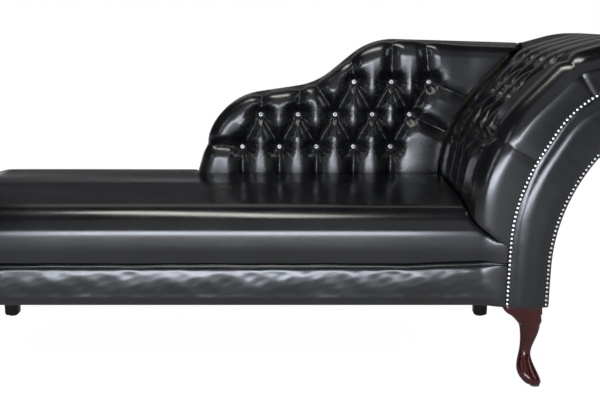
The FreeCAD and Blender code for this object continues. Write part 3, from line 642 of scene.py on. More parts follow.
def wing_layout():
    """The wing's buttons by row, and its folds, as places across its face."""
    first_x, first_z, _ = WING_FIRST_BUTTON
    rows = []
    for row, (start, count) in enumerate(WING_ROWS):
        z = first_z + WING_ROW_RISE * row
        rows.append([(first_x + BUTTON_PITCH * (start + column), z) for column in range(count)])
    folds = diamonds(rows, 0)
    for x, z in rows[0]:
        folds.append(Fold((x, z), (x, SEAT_BOTTOM), strength=0.9, reach=PILLAR_REACH))
    for row, column, along, up in WING_EDGE_FOLDS:
        x, z = rows[row][column]
        folds.append(Fold((x, z), (x + BUTTON_PITCH * along, z + WING_ROW_RISE * up), strength=0.8, fade=0.2))
    return rows, folds


def head_skin():
    """The head pad's outer profile from the seat over the crest, as points."""
    return rounded(HEAD_PROFILE[:7], closed=False)


def head_layout():
    """The head pad's buttons by row, and its folds, as distance along its profile and Y."""
    rows = []
    for row, count in enumerate(HEAD_COLUMNS):
        start = FACING_Y + HEAD_FIRST_COLUMN + (0 if row % 2 else BUTTON_PITCH / 2)
        distance = HEAD_FIRST_ROW + HEAD_ROW_RISE * row
        rows.append([(distance, start + BUTTON_PITCH * column) for column in range(count)])
    folds = diamonds(rows, 1)
    for distance, y in rows[0]:
        folds.append(Fold((distance, y), (0.0, y), strength=0.9, reach=PILLAR_REACH))
    for distance, y in rows[-1]:
        end = (distance + CREST_FOLD_RUN, y)
        folds.append(Fold((distance, y), end, strength=0.7, fade=1.0, reach=PILLAR_REACH))
    for row in rows[1::2]:
        distance, y = row[0]
        end = (distance + HEAD_ROW_RISE * 0.1, FACING_Y)
        folds.append(Fold((distance, y), end, strength=0.55, fade=0.2))
    return rows, folds


# Materials


def arithmetic(operation, swapped=False):
    """A method that takes a value through one math node, with its two inputs swapped if asked."""
    def method(self, other):
        first, second = (other, self) if swapped else (self, other)
        return self.finish.node("ShaderNodeMath", {"operation": operation}, {0: first, 1: second})
    return method


class Value:
    """One output socket that takes part in sums as a number does."""

    def __init__(self, finish, socket):
        self.finish = finish
        self.socket = socket

    __add__ = __radd__ = arithmetic("ADD")
    __mul__ = __rmul__ = arithmetic("MULTIPLY")
    __sub__ = arithmetic("SUBTRACT")
    __rsub__ = arithmetic("SUBTRACT", swapped=True)
    __truediv__ = arithmetic("DIVIDE")
    larger = arithmetic("MAXIMUM")

    def clamped(self):
        """The value held between nought and one."""
        return self.finish.node("ShaderNodeClamp", {}, {0: self})

    def rising(self, low, high):
        """Nought up to low, one from high, and a straight rise between."""
        return ((self - low) / (high - low)).clamped()


class Finish:
    """The nodes of a material or a world under construction."""

    def __init__(self, owner):
        owner.use_nodes = True
        self.tree = owner.node_tree
        self.tree.nodes.clear()

    def node(self, kind, settings, inputs, output=0):
        """A node of one kind, its settings, then its sockets' values or links; gives one output."""
        made = self.tree.nodes.new(kind)
        for name, setting in settings.items():
            setattr(made, name, setting)
        for name, value in inputs.items():
            socket = made.inputs[name]
            if isinstance(value, Value):
                self.tree.links.new(value.socket, socket)
            else:
                socket.default_value = value
        return Value(self, made.outputs[output]) if made.outputs else None

    def object_place(self, scale=(1, 1, 1)):
        """Object coordinates, scaled."""
        place = self.node("ShaderNodeTexCoord", {}, {}, "Object")
        return self.node("ShaderNodeMapping", {}, {"Vector": place, "Scale": scale})

    def noise(self, place, scale, detail=3.0, roughness=0.5):
        """Noise from nought to one at this scale."""
        inputs = {"Vector": place, "Scale": scale, "Detail": detail, "Roughness": roughness}
        return self.node("ShaderNodeTexNoise", {}, inputs)

    def ramp(self, factor, stops):
        """Colours along a value."""
        made = self.node("ShaderNodeValToRGB", {}, {0: factor})
        elements = made.socket.node.color_ramp.elements
        while len(elements) < len(stops):
            elements.new(0.5)
        for element, (place, colour) in zip(elements, stops):
            element.position = place
            element.color = (*colour, 1.0)
        return made

    def attribute(self, name, output):
        """A value stored on the vertices."""
        return self.node("ShaderNodeAttribute", {"attribute_name": name}, {}, output)

    def ray(self, kind):
        """One for rays of this kind, nought for all others."""
        return self.node("ShaderNodeLightPath", {}, {}, f"Is {kind} Ray")

    def bump(self, height, distance, strength, under=None):
        """A normal from heights in metres."""
        inputs = {"Height": height, "Distance": distance, "Strength": strength}
        if under is not None:
            inputs["Normal"] = under
        return self.node("ShaderNodeBump", {}, inputs)

    def surface(self, **inputs):
        """The shader itself, on the material's output."""
        named = {name.replace("_", " "): value for name, value in inputs.items()}
        shader = self.node("ShaderNodeBsdfPrincipled", {}, named)
        self.node("ShaderNodeOutputMaterial", {}, {"Surface": shader})


def new_finish(name):
    """A new material, ready for its nodes, and the place on the piece that they start from."""
    finish = Finish(bpy.data.materials.new(name))
    return finish, finish.object_place()


def leather(name, look, tufted=False, dulled=0.0):
    """Polished black leather with fine grain, soft creases and, if tufted, gathers; dulled makes it rougher."""
    finish, place = new_finish(name)
    cloud = finish.noise(place, scale=7.0)
    fine_cloud = finish.noise(place, scale=38.0, detail=2.0)
    gloss = look.leather_roughness + dulled + (cloud - 0.5) * 0.16 + (fine_cloud - 0.5) * 0.08
    cells = {"Vector": place, "Scale": 520.0}
    pores = finish.node("ShaderNodeTexVoronoi", {"feature": "DISTANCE_TO_EDGE"}, cells)
    creases = finish.noise(finish.object_place(scale=(1, 1, 1.6)), scale=60.0, detail=4.0, roughness=0.6)
    grain = finish.bump(pores, distance=0.00005, strength=0.5)
    normal = finish.bump(creases, distance=0.0004, strength=0.16, under=grain)
    if tufted:
        offset = finish.attribute("from_button", "Vector")
        way = finish.node("ShaderNodeVectorMath", {"operation": "NORMALIZE"}, {0: offset})
        reach = finish.node("ShaderNodeVectorMath", {"operation": "LENGTH"}, {0: offset}, "Value")
        rays = finish.noise(way, scale=5.0, detail=2.0, roughness=0.6)
        ring = reach.rising(0.006, 0.020) * (1 - reach.rising(0.026, 0.052))
        normal = finish.bump((rays - 0.5) * ring, distance=0.012, strength=1.0, under=normal)
    finish.surface(
        Base_Color=finish.ramp(cloud, [(0.3, tuple(look.leather_dark)), (0.7, tuple(look.leather_light))]),
        Roughness=gloss.clamped(),
        Normal=normal,
        IOR=look.leather_ior,
        Coat_Weight=look.leather_coat,
        Coat_Roughness=0.17 + dulled / 2,
        Coat_IOR=1.5,
    )


def wood(name, dark, light, polish, scale=1.0, roughness=0.35):
    """Wood with its figure along the grain, and polish where it has any."""
    finish = Finish(bpy.data.materials.new(name))
    stretched, finely = finish.object_place(scale=(1, 1, 0.12)), finish.object_place(scale=(1, 1, 0.03))
    figure = finish.noise(stretched, scale=26.0 * scale, detail=5.0, roughness=0.6)
    pores = finish.noise(finely, scale=260.0 * scale)
    finish.surface(
        Base_Color=finish.ramp(figure * 0.75 + pores * 0.25, [(0.36, dark), (0.62, light)]),
        Roughness=(roughness + (figure - 0.5) * 0.15).clamped(),
        Normal=finish.bump(pores, distance=0.0002, strength=0.25),
        IOR=1.30,
        Coat_Weight=polish,
        Coat_Roughness=0.14,
    )


def metal(name, roughness, painted_light_tones=None, colour=None):
    """Bright metal with light wear, either in one colour or with a painted highlight and painted shade by distance
    from a head's centre.
    """
    finish, place = new_finish(name)
    wear = finish.noise(place, scale=160.0)
    # Painted light: lighter and darker steps from the head's centre out to its rim paint its highlight and shade.
    if painted_light_tones:
        centre = finish.attribute("from_centre", "Fac")
        shade = finish.ramp(centre + (wear - 0.5) * 0.15, [(mark, (tone,) * 3) for mark, tone in painted_light_tones])
    else:
        shade = finish.ramp(wear, [(0.3, tuple(0.8 * part for part in colour)), (0.65, colour)])
    finish.surface(
        Base_Color=shade,
        Metallic=1.0,
        Roughness=(roughness + (wear - 0.5) * 0.2).clamped(),
        Normal=finish.bump(wear, distance=0.0003, strength=0.3),
    )


def woven(name, dark, light, pitch, roughness=0.85):
    """Plain-woven cloth with its threads over and under."""
    finish, place = new_finish(name)
    checks = {"Vector": place, "Scale": 1 / pitch, "Color1": (1, 1, 1, 1), "Color2": (0, 0, 0, 1)}
    crossing = finish.node("ShaderNodeTexChecker", {}, checks, "Fac")
    slubs = finish.noise(place, scale=0.2 / pitch)
    threads = crossing * 0.6 + slubs * 0.4
    finish.surface(
        Base_Color=finish.ramp(crossing * 0.5 + slubs * 0.5, [(0.2, dark), (0.8, light)]),
        Roughness=(roughness + (slubs - 0.5) * 0.1).clamped(),
        Normal=finish.bump(threads, distance=3.0 * pitch / math.pi, strength=0.4),
    )


def moulded(name, dark, light, pores, roughness):
    """Foam or moulded plastic with its pores or sheen."""
    finish, place = new_finish(name)
    cells = finish.noise(place, scale=pores, detail=4.0, roughness=0.7)
    finish.surface(
        Base_Color=finish.ramp(cells, [(0.3, dark), (0.7, light)]),
        Roughness=(roughness + (cells - 0.5) * 0.1).clamped(),
        Normal=finish.bump(cells, distance=0.3 / pores, strength=0.5),
    )


# What a user would change


class ChaiseForm(bpy.types.PropertyGroup):
    """How the padding is worked."""

    skin_grid: bpy.props.FloatProperty(
        name="Skin grid", description="Size of the faces of the padded skins",
        default=0.005, min=0.002, subtype="DISTANCE", unit="LENGTH",
    )
    fold_depth: bpy.props.FloatProperty(
        name="Fold depth", description="How deep a fold between buttons is",
        default=0.023, subtype="DISTANCE", unit="LENGTH",
    )
    fold_width: bpy.props.FloatProperty(
        name="Fold width", description="How far from a fold the leather is full again",
        default=0.050, subtype="DISTANCE", unit="LENGTH",
    )
    dimple_width: bpy.props.FloatProperty(
        name="Dimple width", description="Radius of the hollow round a button",
        default=0.029, subtype="DISTANCE", unit="LENGTH",
    )
    seat_grid: bpy.props.FloatProperty(
        name="Seat grid", description="Size of the seat skin's faces",
        default=0.006, min=0.003, subtype="DISTANCE", unit="LENGTH",
    )


class ChaiseLook(bpy.types.PropertyGroup):
    """The finishes."""

    leather_dark: bpy.props.FloatVectorProperty(
        name="Leather, dark", description="The leather's darkest tone",
        default=(0.0018, 0.0018, 0.0022), size=3, subtype="COLOR",
    )
    leather_light: bpy.props.FloatVectorProperty(
        name="Leather, light", description="The leather's lightest tone",
        default=(0.0045, 0.0045, 0.0055), size=3, subtype="COLOR",
    )
    leather_roughness: bpy.props.FloatProperty(
        name="Leather roughness", description="How dull the leather is",
        default=0.23, min=0, max=1, subtype="FACTOR",
    )
    leather_ior: bpy.props.FloatProperty(
        name="Leather IOR", description="The leather's refractive index", default=1.385
    )
    leather_coat: bpy.props.FloatProperty(
        name="Leather polish", description="How much polish lies on the leather",
        default=0.3, min=0, max=1, subtype="FACTOR",
    )
    wood_dark: bpy.props.FloatVectorProperty(
        name="Leg wood, dark", description="The front legs' dark figure",
        default=(0.018, 0.0010, 0.0010), size=3, subtype="COLOR",
    )
    wood_light: bpy.props.FloatVectorProperty(
        name="Leg wood, light", description="The front legs' light figure",
        default=(0.042, 0.0020, 0.0020), size=3, subtype="COLOR",
    )
    lamp_power: bpy.props.FloatProperty(
        name="Lamp power", description="Share of the lamps' full power", default=1.0, min=0
    )


# Operators


# Each slot's material on the construction's own pieces, and the nodes that the record gives it
SLOTS = {
    "black_leather": ("plain_leather", [
        "seat_cover", "front_band", "foot_band", "back_band", "front_welt", "foot_welt", "head_cover",
        "wing_cover", "front_facing", "facing_return", "outside_back", "outside_head",
    ]),
    "mahogany": ("leg_mahogany", ["front_head_leg", "front_foot_leg"]),
    "dark_wood": ("dark_block_wood", ["rear_head_leg", "rear_foot_leg"]),
    "polished_nickel": ("button_nickel", ["head_buttons", "wing_buttons", "inner_nails", "outer_nails"]),
    "frame_timber": ("pine_frame", [
        "front_rail", "back_rail", "foot_rail", "head_rail", "cross_rail_1", "cross_rail_2", "corner_blocks",
        "front_scroll_board", "rear_scroll_board", "head_tack_rail", "head_middle_rail", "crest_rail",
        "under_roll_rail", "wing_top_rail", "wing_post", "wing_tack_rail", "wing_stile_1", "wing_stile_2",
    ]),
    "spring_steel": ("spring_wire", ["seat_springs", "spring_clips", "leg_bolts", "leg_nuts"]),
    "canvas": ("webbing_canvas", ["seat_canvas", "wing_canvas", "head_canvas"]),
    "foam": ("seat_foam_cells", ["seat_foam", "wing_foam", "head_foam"]),
    "black_lining": ("dust_cover", ["under_lining"]),
    "nylon": ("glide_nylon", ["glides"]),
}


class CHAISE_OT_finishes(bpy.types.Operator):
    """Make every finish and give the shown frame, fillings and fittings theirs"""

    bl_idname = "chaise.finishes"
    bl_label = "Finishes"

    def execute(self, context):
        look = context.scene.chaise_look
        leather("tufted_leather", look, tufted=True)
        leather("wing_leather", look, tufted=True, dulled=0.05)
        leather("plain_leather", look)
        wood("leg_mahogany", tuple(look.wood_dark), tuple(look.wood_light), polish=0.25, roughness=0.22)
        wood("dark_block_wood", (0.004, 0.003, 0.003), (0.014, 0.009, 0.007), polish=0.2)
        wood("pine_frame", (0.30, 0.17, 0.08), (0.55, 0.36, 0.19), polish=0.0, scale=0.7, roughness=0.6)
        # Painted light on the buttons: the darker centre hollow and rim are painted shade, and the lighter ring
        # between is a painted highlight.
        metal("button_nickel", 0.40, [(0.10, 0.16), (0.34, 0.42), (0.62, 0.62), (0.86, 0.50), (1.0, 0.06)])
        # Painted light on the inner nails: a bright centre as a painted highlight, falling to a dark rim of
        # painted shade.
        metal("inner_nails_nickel", 0.40, [(0.0, 0.97), (0.46, 0.95), (0.66, 0.08), (1.0, 0.03)])
        # The outer nails' finish is a darker copy of the inner nails': painted shade over the whole head, with a
        # dimmer painted highlight and the same dark rim.
        metal("outer_nails_nickel", 0.40, [(0.0, 0.50), (0.50, 0.42), (0.75, 0.08), (1.0, 0.03)])
        metal("spring_wire", 0.35, colour=(0.35, 0.35, 0.36))
        woven("webbing_canvas", (0.30, 0.24, 0.16), (0.55, 0.46, 0.34), pitch=0.0016)
        woven("dust_cover", (0.006, 0.006, 0.006), (0.022, 0.022, 0.022), pitch=0.0012)
        moulded("seat_foam_cells", (0.52, 0.44, 0.26), (0.78, 0.70, 0.47), pores=700.0, roughness=0.9)
        moulded("glide_nylon", (0.05, 0.05, 0.05), (0.09, 0.09, 0.09), pores=300.0, roughness=0.45)
        listed = {node: material for material, nodes in SLOTS.values() for node in nodes}
        for node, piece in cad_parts.items():
            if node not in listed:
                raise ValueError(f"no finish is listed for {node}")
            material = bpy.data.materials[listed[node]]
            if not piece.material_slots:
                piece.data.materials.append(material)
            for slot in piece.material_slots:
                slot.material = material
        return {"FINISHED"}


class CHAISE_OT_wing(bpy.types.Operator):
    """Make the deep-buttoned wing along the back"""

    bl_idname = "chaise.wing"
    bl_label = "Wing"

    def execute(self, context):
        form = context.scene.chaise_form
        wing = wing_solid("wing_upholstery", RAIL_BACK_Y, BACK_ROUNDING)
        combined(wing, head_solid("head_space", BEYOND_BACK_Y, grow=GAP))
        remeshed(wing, form.skin_grid, PAD_SMOOTHING)
        subdivided(wing)
        buttoning = Buttoning(wing_layout(), form)
        places = places_of(wing)
        flat = places[:, [0, 2]]
        front = 1 - smooth_step(*WING_BACK_FADE, places[:, 1])
        from_rim = along_profile(rounded(WING_PROFILE[:5], closed=False), flat)[1]
        rim = WING_RIM_LEAST + WING_RIM_REST * smooth_step(*WING_RIM_FADE, from_rim)
        turned_back = WING_TURN_DEPTH * smooth_step(*WING_TURN_SPAN, flat[:, 0])
        beside_head = 1 - WING_HEAD_LOSS * smooth_step(*WING_HEAD_FADE, flat[:, 0])
        buttoning.draw_in(wing, flat, (buttoning.depth(flat) * beside_head * rim + turned_back) * front)
        leathered(wing, "wing_cover", material="wing_leather")
        return {"FINISHED"}


class CHAISE_OT_head(bpy.types.Operator):
    """Make the scroll head's deep-buttoned pad"""

    bl_idname = "chaise.head"
    bl_label = "Head pad"

    def execute(self, context):
        form = context.scene.chaise_form
        head = head_solid("head_upholstery", RAIL_BACK_Y, BACK_ROUNDING)
        remeshed(head, form.skin_grid, PAD_SMOOTHING)
        subdivided(head)
        buttoning = Buttoning(head_layout(), form)
        places = places_of(head)
        flat = np.column_stack([along_profile(head_skin(), places[:, [0, 2]])[0], places[:, 1]])
        inward = smooth_step(FACING_Y, FACING_Y + HEAD_ROUNDING, places[:, 1])
        edge = HEAD_EDGE_LEAST + (1 - HEAD_EDGE_LEAST) * inward
        roll = 1 - smooth_step(*HEAD_ROLL_FADE, flat[:, 0])
        buttoning.draw_in(head, flat, buttoning.depth(flat) * edge * roll)
        leathered(head, "head_cover", material="tufted_leather")
        return {"FINISHED"}


class CHAISE_OT_seat(bpy.types.Operator):
    """Make the seat, rolled over its front edge and falling at the foot"""

    bl_idname = "chaise.seat"
    bl_label = "Seat"

    def execute(self, context):
        form = context.scene.chaise_form
        bulge_y, bulge_z, bulge_round = BAND_FRONT_Y - 0.008, SEAT_BOTTOM + 0.042, 0.090
        edge_z, edge_round, crown_round = SEAT_TOP - 0.014, 0.068, 6.5
        plan_round, plan_end = 0.062, HEAD_X - 0.47
        seat_end = HEAD_X - LOBE_BACK * MM
        across = [
            (BAND_FRONT_Y, SEAT_BOTTOM, 0.0),
            (bulge_y, bulge_z, bulge_round),
            (BAND_FRONT_Y - 0.006, edge_z, edge_round),
            ((BAND_FRONT_Y + BACK_Y) / 2, SEAT_TOP, crown_round),
            (BACK_Y, edge_z, edge_round),
            (BACK_Y, bulge_z, bulge_round),
            (RAIL_BACK_Y, SEAT_BOTTOM, 0.0),
        ]
        along = [
            (FOOT_BAND_X, SEAT_BOTTOM, 0.0),
            (FOOT_X, bulge_z, bulge_round),
            (FOOT_X, SEAT_TOP - 0.039, 0.058),
            (FOOT_X + 0.108, SEAT_TOP, 0.430),
            (seat_end, SEAT_TOP, 0.0),
            (seat_end, SEAT_BOTTOM, 0.0),
        ]
        plan = [
            (FOOT_X, bulge_y, plan_round),
            (FOOT_X, BACK_Y, plan_round),
            (plan_end, BACK_Y, 0.0),
            (plan_end, bulge_y, 0.0),
        ]
        seat = prism("seat_upholstery", rounded(across), 0, FOOT_X - 0.01, HEAD_X)
        combined(seat, prism("along", rounded(along), 1, -BEYOND, BEYOND), "INTERSECT")
        combined(seat, prism("plan", rounded(plan), 2, SEAT_BOTTOM, 0.6), "INTERSECT")
        combined(seat, head_solid("head_space", BEYOND_BACK_Y, grow=GAP))
        combined(seat, wing_solid("wing_space", BEYOND_BACK_Y, grow=GAP))
        remeshed(seat, form.seat_grid, rounds=8)
        places = places_of(seat)
        swell = waves(places * np.array([0.35, 1.0, 1.0]), scale=0.22, seed=5, height=0.0010, octaves=1)
        moved = pushed(seat, swell * smooth_step(SEAT_BOTTOM, SEAT_BOTTOM + 0.03, places[:, 2]))
        onto, rise = lead(places)
        front = 1 - smooth_step(*NOSE_DEPTH, places[:, 1])
        onto *= front * (1 - smooth_step(*NOSE_HEIGHT, places[:, 2]))
        moved[:, 0] += SEAT_END_REACH * smooth_step(*SEAT_END_SPAN, places[:, 0]) * onto
        moved[:, 1] += (LEAD_Y - moved[:, 1]) * onto
        moved[:, 2] += rise * front * (1 - smooth_step(SEAT_BOTTOM, RISE_TOP, places[:, 2]))
        move_to(seat, moved)
        subdivided(seat)
        leathered(seat, "seat_cover")
        return {"FINISHED"}


# The facing's section: how far in from its edge, and Y
FACING_SECTIONS = [
    (0.0, BOARD_FRONT_Y),
    (0.0, FACING_Y + 0.0012),
    (0.0012, FACING_Y),
    (0.006, FACING_Y - 0.0003),
    (0.0085, FACING_Y + 0.0002),
    (0.012, FACING_Y - 0.0012),
    (0.017, FACING_Y - 0.0040),
    (0.024, FACING_Y - 0.0065),
    (0.032, FACING_Y - 0.0076),
    (0.040, FACING_Y - 0.0080),
    (0.046, FRONT_Y + 0.0001),
]


class CHAISE_OT_facing(bpy.types.Operator):
    """Make the padded panel on the scroll's front"""

    bl_idname = "chaise.facing"
    bl_label = "Scroll facing"

    def execute(self, context):
        rings = []
        for inset, y in FACING_SECTIONS:
            ring = upright(rounded(scroll_outline(-inset - 0.0003, -inset)), y)
            rings.append([(x, y, z - 2 * MM if z < BASE_Z + MM else z) for x, y, z in ring])
        facing = stacked("scroll_facing", rings)
        remeshed(facing, voxel=0.003, rounds=8)
        swell = waves(places_of(facing), scale=0.11, seed=21, height=0.0006)
        swell *= smooth_step(0.0, 1.0, -normals_of(facing)[:, 1])
        move_to(facing, pushed(facing, np.minimum(swell, 0.0)))
        leathered(facing, "front_facing")
        return {"FINISHED"}


# The bands' height, where they meet and overlap by the foot, and their section's ends: how far out, and how high
BAND_TOP = 0.096
BAND_SEAM_X = FOOT_BAND_X + BAND_CORNER
BAND_OVERLAP = 0.009
BAND_FOOT = [(-0.0205, 0.0), (-0.0040, 0.0), (-0.0015, 0.0006), (0.0, 0.0030)]
BAND_HEAD = [(0.0, 0.0940), (-0.0015, 0.0958), (-0.0040, BAND_TOP), (-0.0040, 0.0030), (-0.0205, 0.0020)]


def band_section():
    """The bands' section, full in the middle, with a soft ridge low down."""
    first, run, steps, fullness = 0.003, 0.0905, 22, 0.0056
    ridge_size, ridge_height, ridge_width = 0.0013, 0.019, 0.008
    face = []
    for step in range(1, steps):
        up = first + run * step / steps
        swell = fullness * math.sin(math.pi * (up / BAND_TOP) ** 0.9) ** 0.7
        face.append((swell + ridge_size * math.exp(-(((up - ridge_height) / ridge_width) ** 2)), up))
    return BAND_FOOT + face + BAND_HEAD


class CHAISE_OT_bands(bpy.types.Operator):
    """Make the leather bands round the base"""

    bl_idname = "chaise.bands"
    bl_label = "Bands"

    def execute(self, context):
        plan = [
            (NAIL_X + 0.004, BAND_FRONT_Y, 0.0),
            (FOOT_BAND_X, BAND_FRONT_Y, BAND_CORNER),
            (FOOT_BAND_X, BACK_Y, BAND_CORNER),
            (WING_PROFILE[0][0], BACK_Y, 0.0),
        ]
        path = rounded(plan, closed=False)
        length = lengths_along(path)[-1]
        middle = resampled(path, np.linspace(0, length, int(length / 0.008) + 1))
        ways = ways_along(middle)
        past_seam = middle[:, 0] >= BAND_SEAM_X - BAND_OVERLAP
        spans = {
            "front_band": past_seam & (middle[:, 1] < 0),
            "foot_band": middle[:, 0] <= BAND_SEAM_X + MM / 10,
            "back_band": past_seam & (middle[:, 1] > 0),
        }
        section = band_section()
        for seed, (name, inside) in enumerate(spans.items(), start=40):
            rings = []
            for (x, y), (dx, dy) in zip(middle[inside], ways[inside]):
                rings.append([(x - dy * stand, y + dx * stand, BASE_Z + up) for stand, up in section])
            band = stacked(name + "_leather", rings)
            places = places_of(band)
            up = places[:, 2] - BASE_Z
            swell = waves(places * np.array([0.6, 0.6, 1.0]), scale=0.060, seed=seed, height=0.0012)
            moved = pushed(band, swell * (smooth_step(0.004, 0.02, up) * (1 - smooth_step(0.078, 0.092, up))))
            if name == "front_band":
                onto, rise = lead(places)
                moved[:, 1] += (LEAD_Y - moved[:, 1]) * onto * (places[:, 1] < BAND_FRONT_Y + 0.005)
                moved[:, 2] += rise * smooth_step(BASE_Z + 0.03, BASE_Z + 0.094, places[:, 2])
            move_to(band, moved)
            subdivided(band)
            leathered(band, name)
        return {"FINISHED"}


class CHAISE_OT_piping(bpy.types.Operator):
    """Make the piping between the bands and the seat"""

    bl_idname = "chaise.piping"
    bl_label = "Piping"

    def execute(self, context):
        stand_out, radius, sides = 0.0048, 0.0045, 14
        corner = BAND_CORNER + stand_out
        front_y, foot_x = BAND_FRONT_Y - stand_out, FOOT_BAND_X - stand_out
        z = SEAT_BOTTOM + radius / 2
        seam, end = (BAND_SEAM_X, front_y, 0.0), (foot_x, BACK_Y - BAND_CORNER, 0.0)
        runs = {
            "front_welt": [(NAIL_X - 0.002, front_y, 0.0), seam],
            "foot_welt": [seam, (foot_x, front_y, corner), end],
        }
        for name, plan in runs.items():
            path = rounded(plan, closed=False, sweep=math.radians(10))
            length = lengths_along(path)[-1]
            steps = np.linspace(0, length, max(12, int(length / 0.012)))
            middle = resampled(path, steps)
            rings = []
            for (x, y), (dx, dy), step in zip(middle, ways_along(middle), steps):
                wander = 0.0005 * math.sin(step * 19.0) + 0.0004 * math.sin(step * 47.0)
                ring = []
                for side in range(sides):
                    turn = 2 * math.pi * side / sides
                    stand, up = radius * math.cos(turn), radius * math.sin(turn) + wander
                    ring.append((x + dy * stand, y - dx * stand, z + up))
                rings.append(ring)
            piping = stacked(name + "_piping", rings)
            places = places_of(piping)
            onto, rise = lead(places)
            places[:, 1] -= PIPING_LEAD * onto
            places[:, 2] += rise
            move_to(piping, places)
            leathered(piping, name)
        return {"FINISHED"}


def make_back():
    """The flat leather over the whole back, from the forms that it covers."""
    seam, far_y = 0.008, BACK_Y + 0.0025
    foot_x = WING_PROFILE[0][0]
    base = [(foot_x, BASE_Z, 0.0), (foot_x, DECK_Z, 0.0)]
    base += [(BASE_END_X, DECK_Z, 0.0), (BASE_END_X, BASE_Z, 0.0)]
    wing = [(x, z if z > SEAT_BOTTOM else DECK_Z, radius) for x, z, radius in WING_PROFILE]
    scroll = scroll_outline(0.014, -0.003)
    outlines = [
        (wing, [seam * share for share in WING_ROUNDED]),
        (HEAD_PROFILE, [seam * bool(share) for share in HEAD_ROUNDED]),
        (scroll, [0.0] * len(scroll)),
        (base, [0.0] * len(base)),
    ]
    sections = [(0.0, RAIL_BACK_Y + 0.0002), (0.0, far_y - 0.002), (0.0008, far_y - 0.0006), (0.003, far_y)]
    sheets = []
    for index, (corners, insets) in enumerate(outlines):
        rings = []
        for draw, y in sections:
            rings.append(upright(rounded(shifted(corners, [-inset - draw for inset in insets])), y))
        sheets.append(stacked(f"back_sheet_{index}", rings))
    back = joined("outside_back_leather", sheets)
    remeshed(back, voxel=0.004, rounds=3)
    places = places_of(back)
    swell = waves(places, scale=0.22, seed=61, height=0.0012)
    places[:, 1] += swell * smooth_step(0.5, 1.0, normals_of(back)[:, 1])
    move_to(back, places)
    applied(back, "DECIMATE", ratio=0.35)
    leathered(back, "outside_back")


def make_under_roll():
    """The leather on the head end, from the base up to the roll."""
    run = rounded(OUTER_RUN, closed=False)
    middle = resampled(run, np.linspace(0, lengths_along(run)[-1] - MM, 90))
    middle = middle[middle[:, 1] < HEAD_PROFILE[6][1] - MM]
    near_y, far_y = BOARD_FRONT_Y + 0.0003, RAIL_BACK_Y - 0.0003
    thickness, pinch, fullness, ripple, steps = 0.0029, 0.0006, 0.0036, 0.0009, 24
    rings = []
    for index, ((x, z), (dx, dz)) in enumerate(zip(middle, ways_along(middle))):
        ring = [(x - dz * thickness, y, z + dx * thickness) for y in (near_y, far_y)]
        low = smooth_step(0.0, 6.0, np.array([index, len(middle) - 1 - index])).min()
        for step in range(steps + 1):
            share = step / steps
            arch = math.sin(math.pi * share)
            swell = -pinch + fullness * arch ** 0.5 * low
            swell += ripple * math.sin(index * 0.37 + 2.0 * math.sin(share * 9.0)) * low * arch
            ring.append((x + dz * swell, far_y + (near_y - far_y) * share, z - dx * swell))
        rings.append(ring)
    leathered(stacked("outside_head_leather", rings), "outside_head")


# The lap's section: how far towards the seat from the nail line, and Y
LAP_SECTION = [
    (-0.0012, -0.3431),
    (-0.0012, -0.3440),
    (0.0080, -0.3442),
    (0.0130, -0.3441),
    (0.0152, -0.3438),
    (0.0160, -0.3430),
    (0.0161, -0.3370),
    (0.0160, -0.3310),
    (0.0152, -0.3310),
    (0.0152, -0.3431),
]


def make_lap():
    """The leather that laps from the facing on to the scroll board's edge."""
    nail_line = line_of(rounded(NAIL_RUN, closed=False))
    rings = []
    for z in np.linspace(BASE_Z - 0.0015, SHOULDER[2][1] + 0.035, 26):
        x = np.interp(z, nail_line[:, 1], nail_line[:, 0])
        rings.append([(x - draw, y, z) for draw, y in LAP_SECTION])
    leathered(subdivided(stacked("facing_return_leather", rings)), "facing_return")


def make_lining():
    """The thin black lining under the base, slack between its tacked edges."""
    low, high = (Vector(corner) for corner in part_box("under_lining"))
    width, depth = high.x - low.x, high.y - low.y
    grid = bpy.ops.mesh.primitive_grid_add
    lining = added("base_lining", grid, x_subdivisions=110, y_subdivisions=46, size=1)
    places = places_of(lining) * np.array([width, depth, 0.0])
    edge = np.minimum(width / 2 - np.abs(places[:, 0]), depth / 2 - np.abs(places[:, 1]))
    swell = waves(places[:, :2], scale=0.30, seed=71, height=0.0016)
    places[:, 2] = smooth_step(0.0, 0.10, edge) * (swell - 0.003) - 0.0001
    places += np.array([(low.x + high.x) / 2, (low.y + high.y) / 2, high.z - 0.0004])
    move_to(lining, places)
    applied(lining, "SOLIDIFY", thickness=0.0006, offset=0.0)
    finished(lining, "dust_cover", "under_lining")


class CHAISE_OT_outside(bpy.types.Operator):
    """Make the flat outside leathers, the facing's lap and the lining under the base"""

    bl_idname = "chaise.outside"
    bl_label = "Outside leathers"

    def execute(self, context):
        make_back()
        make_under_roll()
        make_lap()
        make_lining()
        return {"FINISHED"}


class CHAISE_OT_buttons(bpy.types.Operator):
    """Set the bright buttons in their dimples"""

    bl_idname = "chaise.buttons"
    bl_label = "Buttons"

    def execute(self, context):
        places = [(x, WING_FRONT_Y + BUTTON_DEPTH, z) for row in wing_layout()[0] for x, z in row]
        wing = copies("wing_bright_buttons", dome("wing_button", *BUTTON), places)
        finished(wing, "button_nickel", "wing_buttons")
        skin, reach = head_skin(), 0.004
        places, ways = [], []
        for row in head_layout()[0]:
            for distance, y in row:
                spot, before, after = resampled(skin, [distance, distance - reach, distance + reach])
                way = after - before
                out = Vector((-way[1], 0, way[0])).normalized()
                places.append((spot[0] - out.x * BUTTON_DEPTH, y, spot[1] - out.z * BUTTON_DEPTH))
                ways.append(out)
        head = copies("head_bright_buttons", dome("head_button", *BUTTON), places, ways)
        finished(head, "button_nickel", "head_buttons")
        return {"FINISHED"}


